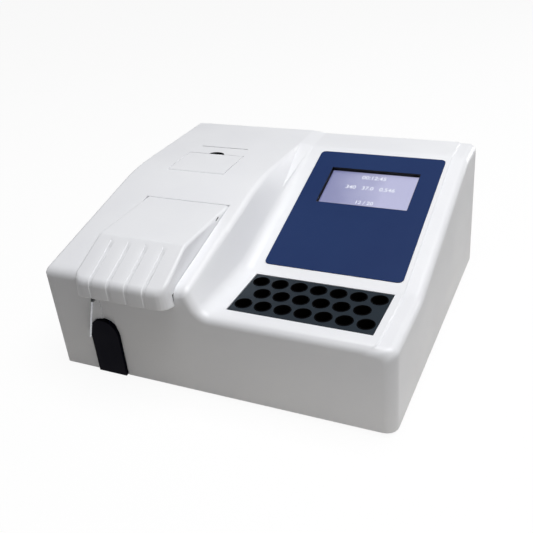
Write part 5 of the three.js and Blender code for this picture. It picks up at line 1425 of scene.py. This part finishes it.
@dataclass
class Printer:
    """The paper's path: its web, the tear bar under the slot, the dust seal round the cover, and painted
    shade in the thumb notch.
    """

    across: float = -95.5
    web_width: float = 56.6
    web_thickness: float = 0.12
    web_path: tuple[tuple[float, float], ...] = (
        (62.5, 109.2),
        (70.7, 115.9),
        (79.0, 122.6),
        (87.4, 129.2),
        (88.9, 131.2),
        (89.6, 133.8),
        (89.9, 137.5),
        (90.1, 141.0),
    )
    bar_size: tuple[float, float, float] = (58.0, 0.5, 1.4)
    bar_place: tuple[float, float] = (90.55, 140.2)
    teeth: int = 28
    tooth: float = 0.75
    tooth_flatness: float = 0.3
    tooth_root: float = 0.05
    seal_width: float = 0.46
    seal_height: float = 0.8
    seal_left: float = -129.45
    seal_right: float = -61.55
    seal_front: tuple[float, float] = (20.3, 144.15)
    seal_path: tuple[tuple[float, float], ...] = (
        (20.2, 144.5),
        (28.0, 144.95),
        (35.0, 145.25),
        (42.0, 145.4),
        (69.9, 145.45),
    )
    rear_seals: tuple[tuple[float, float], ...] = ((-129.6, -106.0), (-85.0, -61.4))
    rear_place: tuple[float, float] = (69.75, 145.1)
    # a black strip of painted shade that darkens the thumb notch's rear wall
    lining_centre: tuple[float, float, float] = (-95.5, 69.3, 144.95)
    lining_reach: tuple[float, float] = (9.0, 6.2)
    lining_height: float = 2.5
    lining_thickness: float = 0.3
    lining_ends: tuple[float, float] = (6, 174)
    lining_steps: int = 14

    def tear_bar(self) -> None:
        """Makes the toothed steel bar."""
        bar = Workshop.bar(self.bar_size, 0.08)
        pieces = [Workshop.placed(bar, (self.across, *self.bar_place))]
        bpy.data.objects.remove(bar)
        bpy.ops.object.select_all(action="DESELECT")
        size = self.tooth * MM
        bpy.ops.mesh.primitive_cone_add(vertices=4, radius1=size, depth=size, location=(0, 0, 0))
        tooth = bpy.context.object
        tooth.data.transform(Matrix.Diagonal((1, self.tooth_flatness, 1, 1)))
        top = self.bar_place[1] + self.bar_size[2] + self.tooth / 2 - self.tooth_root
        for i in range(self.teeth):
            x = self.across + (i - (self.teeth - 1) / 2) * self.bar_size[0] / self.teeth
            pieces.append(Workshop.placed(tooth, (x, self.bar_place[0], top)))
        bpy.data.objects.remove(tooth)
        Workshop.finish(Workshop.joined(pieces), "tear_bar", Palette.STEEL, "steel", "case")

    def dust_seal(self) -> None:
        """Makes the pale lip that narrows the seam round the cover."""
        side = Workshop.strip(self.seal_path, self.seal_width, self.seal_height)
        pieces = [Workshop.placed(side, (x, 0, 0)) for x in (self.seal_left, self.seal_right)]
        bpy.data.objects.remove(side)
        spans = [(self.seal_left, self.seal_right, *self.seal_front)]
        spans += [(x0, x1, *self.rear_place) for x0, x1 in self.rear_seals]
        for x0, x1, y, z in spans:
            bar = Workshop.bar((x1 - x0, self.seal_width, self.seal_height), 0.05)
            bar.data.transform(Matrix.Translation(Vector(((x0 + x1) / 2, y, z)) * MM))
            pieces.append(bar)
        Workshop.finish(Workshop.joined(pieces), "cover_dust_seal", Palette.SHELL, "white_shell", "case")

    def notch_lining(self) -> None:
        """Makes the black strip of painted shade on the thumb notch's shadowed rear wall."""
        first, last = (math.radians(end) for end in self.lining_ends)
        turns = [first + (last - first) * i / self.lining_steps for i in range(self.lining_steps + 1)]
        path = [(self.lining_reach[0] * math.cos(t), self.lining_reach[1] * math.sin(t)) for t in turns]
        o = Workshop.strip(path, self.lining_height, self.lining_thickness)
        upright = Matrix(((0, 1, 0, 0), (0, 0, 1, 0), (1, 0, 0, 0), (0, 0, 0, 1)))
        o.data.transform(Matrix.Translation(Vector(self.lining_centre) * MM) @ upright)
        Workshop.finish(o, "notch_lining", Palette.BLACK, "dark_plastic", "case")

    def build(self) -> None:
        """Makes the printer's small pieces."""
        web = Workshop.strip(self.web_path, self.web_width, self.web_thickness)
        web.data.transform(Matrix.Translation((self.across * MM, 0, 0)))
        Workshop.finish(web, "paper_web", Palette.PAPER, "thermal_paper", "case")
        self.tear_bar()
        self.dust_seal()
        self.notch_lining()


@dataclass
class Optics:
    """What the light passes: the lamp's coil and foot, the lens and the eight filters."""

    across: float = -85.0
    axis: float = 92.0
    lens_radius: float = 3.8
    lens_back: float = -9.0
    wheel: float = -66.7
    circle: float = 18.3
    filter_radius: float = 4.25
    filter_front: float = -2.9
    filter_depth: float = 2.8
    ring: tuple[float, float] = (4.2, 5.4)
    ring_front: float = -3.75
    ring_depth: float = 0.5
    lamp_place: tuple[float, float] = (-85.0, 11.0)
    foot_low: float = 62.0
    foot_side: float = 11.4
    foot_height: float = 8.2
    coil_low: float = 86.5
    coil_turns: int = 7
    coil_pitch: float = 0.85

    def lens(self) -> None:
        """Makes the lens and the ring that holds it."""
        r = self.lens_radius
        profile = [(POLE, 0.0), (r * 0.5, 0.25), (r * 0.8, 0.65), (r, 1.1), (r, 1.7), (r * 0.8, 2.15)]
        lens = Workshop.turned(profile + [(r * 0.5, 2.55), (POLE, 2.8)], 32, 60)
        lens.data.transform(Workshop.facing(Vector((self.across, self.lens_back, self.axis)) * MM, BACK))
        Workshop.finish(lens, "lens", Palette.GLASS, "clear_glass", "case")

    def filters(self) -> None:
        """Makes the eight filters and their rings, which turn with the wheel."""
        r, depth = self.filter_radius, self.filter_depth
        disc = Workshop.turned([(POLE, 0.0), (r - 0.2, 0.0), (r, 0.2), (r, depth), (POLE, depth)], 24)
        inner, outer = self.ring
        wall = [(inner, 0.0), (outer, 0.0), (outer, self.ring_depth), (inner, self.ring_depth), (inner, 0.0)]
        ring = Workshop.turned(wall, 24)
        tints = [
            Palette.VIOLET,
            Palette.INDIGO,
            Palette.BLUE,
            Palette.GREEN,
            Palette.LIME,
            Palette.AMBER,
            Palette.RED,
            Palette.RUBY,
        ]
        for i, tint in enumerate(tints):
            angle = math.pi + 2 * math.pi * i / len(tints)
            x, z = self.wheel + self.circle * math.cos(angle), self.axis + self.circle * math.sin(angle)
            for pattern, y, name, finish, slot in (
                (disc, self.filter_front, "filter", tint, "clear_glass"),
                (ring, self.ring_front, "filter_ring", Palette.ALUMINIUM, "aluminium"),
            ):
                o = Workshop.twin(pattern)
                o.data.transform(Workshop.facing(Vector((x, y, z)) * MM, BACK))
                Workshop.finish(o, f"{name}_{i + 1}", finish, slot, "filter_wheel")
        bpy.data.objects.remove(disc)
        bpy.data.objects.remove(ring)

    def lamp(self) -> None:
        """Makes the lamp's ceramic foot and its coil on two posts."""
        x, y = self.lamp_place
        side, height = self.foot_side, self.foot_height
        foot = Workshop.bar((side, side, height), 0.5)
        foot.data.transform(Matrix.Translation(Vector((x, y, self.foot_low)) * MM))
        Workshop.finish(foot, "lamp_foot", Palette.CERAMIC, "grey_plastic", "case")
        ripple = [(POLE, 0.0)]
        for i in range(self.coil_turns):
            low = i * self.coil_pitch
            ripple += [(0.6, low + 0.1), (0.95, low + self.coil_pitch / 2)]
        top = self.coil_turns * self.coil_pitch
        coil = Workshop.turned(ripple + [(0.6, top), (POLE, top + 0.1)], 12, 60)
        coil.data.transform(Matrix.Translation(Vector((x, y, self.coil_low)) * MM))
        pieces = [coil]
        for shift, rise in ((-1.6, top), (1.6, 0.4)):
            post_low = self.foot_low + height
            post = Workshop.bar((0.5, 0.5, self.coil_low + rise - post_low), 0.1)
            post.data.transform(Matrix.Translation(Vector((x + shift, y, post_low)) * MM))
            arm = Workshop.bar((abs(shift) + 0.4, 0.4, 0.4), 0.1)
            arm_place = Vector((x + shift / 2, y, self.coil_low + rise - 0.3))
            arm.data.transform(Matrix.Translation(arm_place * MM))
            pieces += [post, arm]
        Workshop.finish(Workshop.joined(pieces), "lamp_coil", Palette.TUNGSTEN, "steel", "case")

    def build(self) -> None:
        """Makes the optical pieces."""
        self.lens()
        self.filters()
        self.lamp()


@dataclass
class Sockets:
    """Small pieces on the back: the serial port's pins and posts, and the marks on the rocker."""

    port: tuple[float, float] = (-2.0, 36.0)
    shell_end: float = 164.2
    shell_wall: float = 0.55
    shell_depth: float = 3.6
    pin_pitch: float = 2.77
    pin_row: float = 1.42
    pin_length: float = 2.6
    post_shift: float = 12.5
    post_base: float = 159.6
    post_outline: tuple[tuple[float, float], ...] = (
        (0.9, 0.0),
        (2.5, 0.0),
        (2.5, 2.6),
        (2.1, 3.0),
        (1.3, 3.0),
        (1.0, 2.6),
        (1.0, 0.6),
        (0.9, 0.0),
    )
    rocker: tuple[float, float, float] = (-94.5, 157.1, 40.0)
    rocker_turn: float = math.radians(7)
    mark_out: float = 4.56
    mark_shift: float = 5.6
    mark_lean: float = 0.2

    def hollow(self, o: bpy.types.Object) -> None:
        """Sinks the shell's end, which leaves its wall standing.

        Args:
            o: the port's copy.
        """
        with Workshop.editing(o):
            Workshop.choose(o, lambda c, n: n.y > 0.9 and c.y > (self.shell_end - 0.3) * MM)
            bpy.ops.mesh.inset(thickness=self.shell_wall * MM, depth=0)
            bpy.ops.mesh.extrude_region_move(TRANSFORM_OT_translate={"value": (0, -self.shell_depth * MM, 0)})

    def pins(self) -> None:
        """Makes the nine pins and the two hexagonal posts."""
        x0, z0 = self.port
        long = self.pin_length
        pin = Workshop.turned([(POLE, 0.0), (0.5, 0.0), (0.5, long - 0.4), (0.25, long), (POLE, long)], 12)
        places = [(x0 + (i - 2) * self.pin_pitch, z0 + self.pin_row) for i in range(5)]
        places += [(x0 + (i - 1.5) * self.pin_pitch, z0 - self.pin_row) for i in range(4)]
        floor = self.shell_end - self.shell_depth
        pieces = []
        for x, z in places:
            o = Workshop.twin(pin)
            o.data.transform(Workshop.facing(Vector((x, floor, z)) * MM, BACK))
            pieces.append(o)
        bpy.data.objects.remove(pin)
        Workshop.finish(Workshop.joined(pieces), "serial_port_pins", Palette.BRASS, "steel", "case")
        post = Workshop.turned(self.post_outline, 6, 20)
        for number, shift in enumerate((-self.post_shift, self.post_shift), 1):
            o = Workshop.twin(post)
            o.data.transform(Workshop.facing(Vector((x0 + shift, self.post_base, z0)) * MM, BACK))
            Workshop.finish(o, f"serial_port_post_{number}", Palette.STEEL, "steel", "case")
        bpy.data.objects.remove(post)

    def marks(self) -> None:
        """Makes the two marks on the rocker, a bar and a ring, which tilt with it."""
        stroke = Workshop.bar((0.7, 4.2, 0.18), 0.05)
        ring = Workshop.turned([(1.5, 0.0), (2.1, 0.0), (2.1, 0.18), (1.5, 0.18), (1.5, 0.0)], 24)
        for o, side, name in ((stroke, 1, "rocker_bar"), (ring, -1, "rocker_ring")):
            place = Vector((0, self.mark_out, side * self.mark_shift)) * MM
            turn = Matrix.Rotation(self.rocker_turn, 4, "X")
            face = Workshop.facing(place, (0, 1, -side * self.mark_lean))
            o.data.transform(Matrix.Translation(Vector(self.rocker) * MM) @ turn @ face)
            Workshop.finish(o, name, Palette.MARK, "grey_plastic", "power_switch")

    def build(self) -> None:
        """Makes the small pieces of the back."""
        refine("serial_port", Palette.STEEL, 0.1, 35, self.hollow)
        self.pins()
        self.marks()


@dataclass
class Boards:
    """Small parts on the main board: chips with bent legs, capacitors and the headers' pins."""

    top: float = 16.1
    chip_places: tuple[tuple[float, float, float], ...] = (
        (48.0, 10.0, 0.0),
        (84.0, 8.0, 90.0),
        (124.0, 34.0, 0.0),
        (62.0, 62.0, 90.0),
        (108.0, 90.0, 0.0),
        (130.0, 62.0, 90.0),
    )
    chip_size: tuple[float, float, float] = (10.0, 4.4, 1.5)
    chip_rise: float = 0.25
    leg_path: tuple[tuple[float, float], ...] = ((2.1, 0.95), (2.8, 0.95), (3.1, 0.15), (3.9, 0.1))
    leg_width: float = 0.42
    leg_pitch: float = 1.27
    legs: int = 7
    quad_places: tuple[tuple[float, float], ...] = ((63.0, 27.7), (102.0, 63.7))
    quad_half: float = 11.0
    quad_legs: int = 15
    quad_root: float = 2.2
    can_places: tuple[tuple[float, float], ...] = ((32.0, 14.0), (46.0, 78.0), (134.0, 14.0))
    header_places: tuple[tuple[float, float], ...] = ((56.5, -10.7), (108.5, -10.7), (82.5, 91.3))
    header_top: float = 25.1
    header_pins: int = 10
    pin_pitch: float = 2.54
    pin_root: float = 0.2

    def chips(self) -> None:
        """Makes the small chips and their legs."""
        body = Workshop.bar(self.chip_size, 0.2)
        leg = Workshop.strip(self.leg_path, self.leg_width, 0.15)
        row = []
        for i in range(self.legs):
            for turn in (0, 180):
                row.append(Workshop.placed(leg, ((i - (self.legs - 1) / 2) * self.leg_pitch, 0, 0), turn))
        legs = Workshop.joined(row)
        for number, (x, y, turn) in enumerate(self.chip_places, 1):
            o = Workshop.placed(body, (x, y, self.top + self.chip_rise), turn)
            Workshop.finish(o, f"main_board_chip_{number}", Palette.BLACK, "dark_plastic", "case")
            o = Workshop.placed(legs, (x, y, self.top), turn)
            Workshop.finish(o, f"main_board_chip_legs_{number}", Palette.STEEL, "steel", "case")
        for number, (x, y) in enumerate(self.quad_places, 1):
            row = []
            for i in range(self.quad_legs):
                shift = (i - (self.quad_legs - 1) / 2) * self.leg_pitch
                for turn in (0, 90, 180, 270):
                    root = Vector((shift, self.quad_half - self.quad_root, 0))
                    out = Matrix.Rotation(math.radians(turn), 4, "Z") @ root
                    row.append(Workshop.placed(leg, (x + out.x, y + out.y, self.top), turn))
            o = Workshop.joined(row)
            Workshop.finish(o, f"main_board_quad_legs_{number}", Palette.STEEL, "steel", "case")
        for o in (body, leg, legs):
            bpy.data.objects.remove(o)

    def cans(self) -> None:
        """Makes the capacitors, with their pressed waists."""
        profile = [(POLE, 0.0), (3.6, 0.0), (3.9, 0.4), (3.9, 1.2), (3.6, 1.6), (3.9, 2.0), (3.9, 9.2)]
        can = Workshop.turned(profile + [(3.6, 9.6), (3.0, 9.6), (2.8, 9.4), (POLE, 9.4)], 24)
        for number, (x, y) in enumerate(self.can_places, 1):
            o = Workshop.placed(can, (x, y, self.top))
            Workshop.finish(o, f"main_board_can_{number}", Palette.ALUMINIUM, "aluminium", "case")
        bpy.data.objects.remove(can)

    def headers(self) -> None:
        """Makes the brass pins of the three headers."""
        pin = Workshop.bar((0.64, 0.64, 1.6), 0.12)
        for number, (x, y) in enumerate(self.header_places, 1):
            row = []
            for i in range(self.header_pins):
                for side in (-0.5, 0.5):
                    shift = (i - (self.header_pins - 1) / 2) * self.pin_pitch
                    place = (x + shift, y + side * self.pin_pitch, self.header_top - self.pin_root)
                    row.append(Workshop.placed(pin, place))
            o = Workshop.joined(row)
            Workshop.finish(o, f"main_board_pins_{number}", Palette.BRASS, "steel", "case")
        bpy.data.objects.remove(pin)

    def build(self) -> None:
        """Makes the board's small parts."""
        self.chips()
        self.cans()
        self.headers()


@dataclass
class PumpKnob:
    """The ribbed knob that turns the pump by hand."""

    centre: tuple[float, float] = (-56.0, -98.0)
    base: float = 99.0
    radius: float = 6.3
    height: float = 5.3
    ribs: int = 18
    rib: tuple[float, float, float] = (0.9, 1.0, 4.2)

    def build(self) -> None:
        """Makes the knob with its ribs."""
        r, h = self.radius, self.height
        profile = [(POLE, 0.0), (r, 0.0), (r, h - 0.9), (r - 0.3, h - 0.3), (r - 1.0, h), (r - 1.8, h)]
        knob = Workshop.turned(profile + [(r - 2.1, h - 0.4), (POLE, h - 0.4)], 48)
        rib = Workshop.bar(self.rib, 0.25)
        rib.data.transform(Matrix.Translation((0, r * MM, 0)))
        pieces = [knob] + [Workshop.placed(rib, (0, 0, 0.1), i * 360 / self.ribs) for i in range(self.ribs)]
        bpy.data.objects.remove(rib)
        o = Workshop.joined(pieces)
        o.data.transform(Matrix.Translation(Vector((*self.centre, self.base)) * MM))
        Workshop.finish(o, "pump_knob", Palette.DARK, "dark_plastic", "pump_rotor")


@dataclass
class Studio:
    """The floor, the lamps, the world and the camera."""

    place: tuple[float, float, float] = (0.2955, -0.6005, 0.43275)
    forward: tuple[float, float, float] = (-0.39682, 0.77634, -0.48972)
    roll: float = math.radians(-5.615)
    lens: float = 49.61
    sky: float = 0.1
    floor_share: float = 0.93
    floor_reach: tuple[float, float] = (0.26, 0.5)
    floor_near: str = "A9A49B"
    floor_far: str = "404040"
    floor_size: float = 12.0
    sensor: float = 36.0
    lamps: tuple[tuple[str, Place, float, float, Place], ...] = (
        ("top_lamp", (0.36, 0.0, 1.55), 1.0, 23.3, (0, 0, 0.08)),
        ("right_lamp", (1.3, 0.25, 0.55), 0.8, 0.8, (0, 0, 0.08)),
        ("front_lamp", (0.32, -0.55, 0.04), 0.25, 0.56, (0.12, -0.15, 0.0)),
        ("back_lamp", (0.8, 1.4, 0.25), 0.4, 3.4, (0, 0, 0.06)),
        ("left_lamp", (-1.4, -0.3, 0.3), 0.4, 1.0, (0, 0, 0.06)),
    )

    def camera(self) -> None:
        """Puts the camera where the photograph was taken from."""
        look = Vector(self.forward).normalized()
        level = look.cross(Vector((0, 0, 1))).normalized()
        rise = level.cross(look)
        right = level * math.cos(self.roll) + rise * math.sin(self.roll)
        up = rise * math.cos(self.roll) - level * math.sin(self.roll)
        data = bpy.data.cameras.new("camera")
        data.sensor_width = self.sensor
        data.lens = self.lens
        o = bpy.data.objects.new("camera", data)
        bpy.context.scene.collection.objects.link(o)
        turn = Matrix((right, up, -look)).transposed().to_4x4()
        o.matrix_world = Matrix.Translation(self.place) @ turn
        bpy.context.scene.camera = o

    def lamp(self, name: str, place: Place, size: float, power: float, aim: Place) -> None:
        """Hangs one soft square lamp.

        Args:
            name: its name.
            place: where it hangs, in metres.
            size: its side, in metres.
            power: in watts.
            aim: the point that it faces.
        """
        data = bpy.data.lights.new(name, "AREA")
        data.size = size
        data.energy = power
        o = bpy.data.objects.new(name, data)
        bpy.context.scene.collection.objects.link(o)
        o.visible_camera = False
        o.location = place
        o.rotation_euler = (Vector(aim) - Vector(place)).to_track_quat("-Z", "Y").to_euler()

    def floor(self) -> None:
        """Lays the pale floor, which shows white with the object's shadow on it."""
        bpy.ops.object.select_all(action="DESELECT")
        bpy.ops.mesh.primitive_plane_add(size=self.floor_size, location=(0, 0, 0))
        o = bpy.context.object
        o.name = "floor"
        s = Shader.called("floor_paint")
        rays = s.node("ShaderNodeLightPath")
        seen = Signal(s, rays.outputs["Is Camera Ray"]) + Signal(s, rays.outputs["Is Glossy Ray"])
        seen = seen + Signal(s, rays.outputs["Is Transmission Ray"])
        x, y, _ = s.axes()
        far = ((x * x + y * y) ** 0.5).spread(*self.floor_reach, 0, 1)
        bounce = s.mix(far, paint(self.floor_near), paint(self.floor_far))
        tone = s.mix(seen.spread(0, 1, 0, 1), bounce, paint("FFFFFF"))
        plain = s.node("ShaderNodeBsdfDiffuse", None, {0: tone})
        white = s.node("ShaderNodeEmission", None, {0: (1, 1, 1, 1), 1: 1.0})
        both = s.node("ShaderNodeMixShader", None, {0: seen.spread(0, 1, 0, self.floor_share)})
        s.tree.links.new(plain.outputs[0], both.inputs[1])
        s.tree.links.new(white.outputs[0], both.inputs[2])
        s.node("ShaderNodeOutputMaterial", None, {0: Signal(s, both.outputs[0])})
        o.data.materials.append(s.owner)

    def world(self) -> None:
        """White to the eye and through glass, softer as light."""
        world = bpy.data.worlds.new("studio")
        bpy.context.scene.world = world
        s = Shader(world)
        rays = s.node("ShaderNodeLightPath")
        seen = Signal(s, rays.outputs["Is Camera Ray"]) + Signal(s, rays.outputs["Is Transmission Ray"])
        level = seen.spread(0, 1, self.sky, 1.0)
        sky = s.node("ShaderNodeBackground", None, {0: (1, 1, 1, 1), 1: level})
        s.node("ShaderNodeOutputWorld", None, {0: Signal(s, sky.outputs[0])})

    def build(self) -> None:
        """Sets the whole stage."""
        bpy.context.scene.view_settings.view_transform = "Standard"
        self.camera()
        self.floor()
        self.world()
        for name, place, size, power, aim in self.lamps:
            self.lamp(name, place, size, power, aim)


def main() -> None:
    """Builds every sub-assembly in order and reports its pieces."""
    logging.basicConfig(level=logging.INFO, format="%(message)s")
    for assembly in (
        Studio(),
        Skins(),
        BayLid(),
        BaySeams(),
        Hardware(),
        Feet(),
        Console(),
        Wells(),
        Printer(),
        Optics(),
        Sockets(),
        Boards(),
        PumpKnob(),
    ):
        assembly.build()


if __name__ == "__main__":
    main()
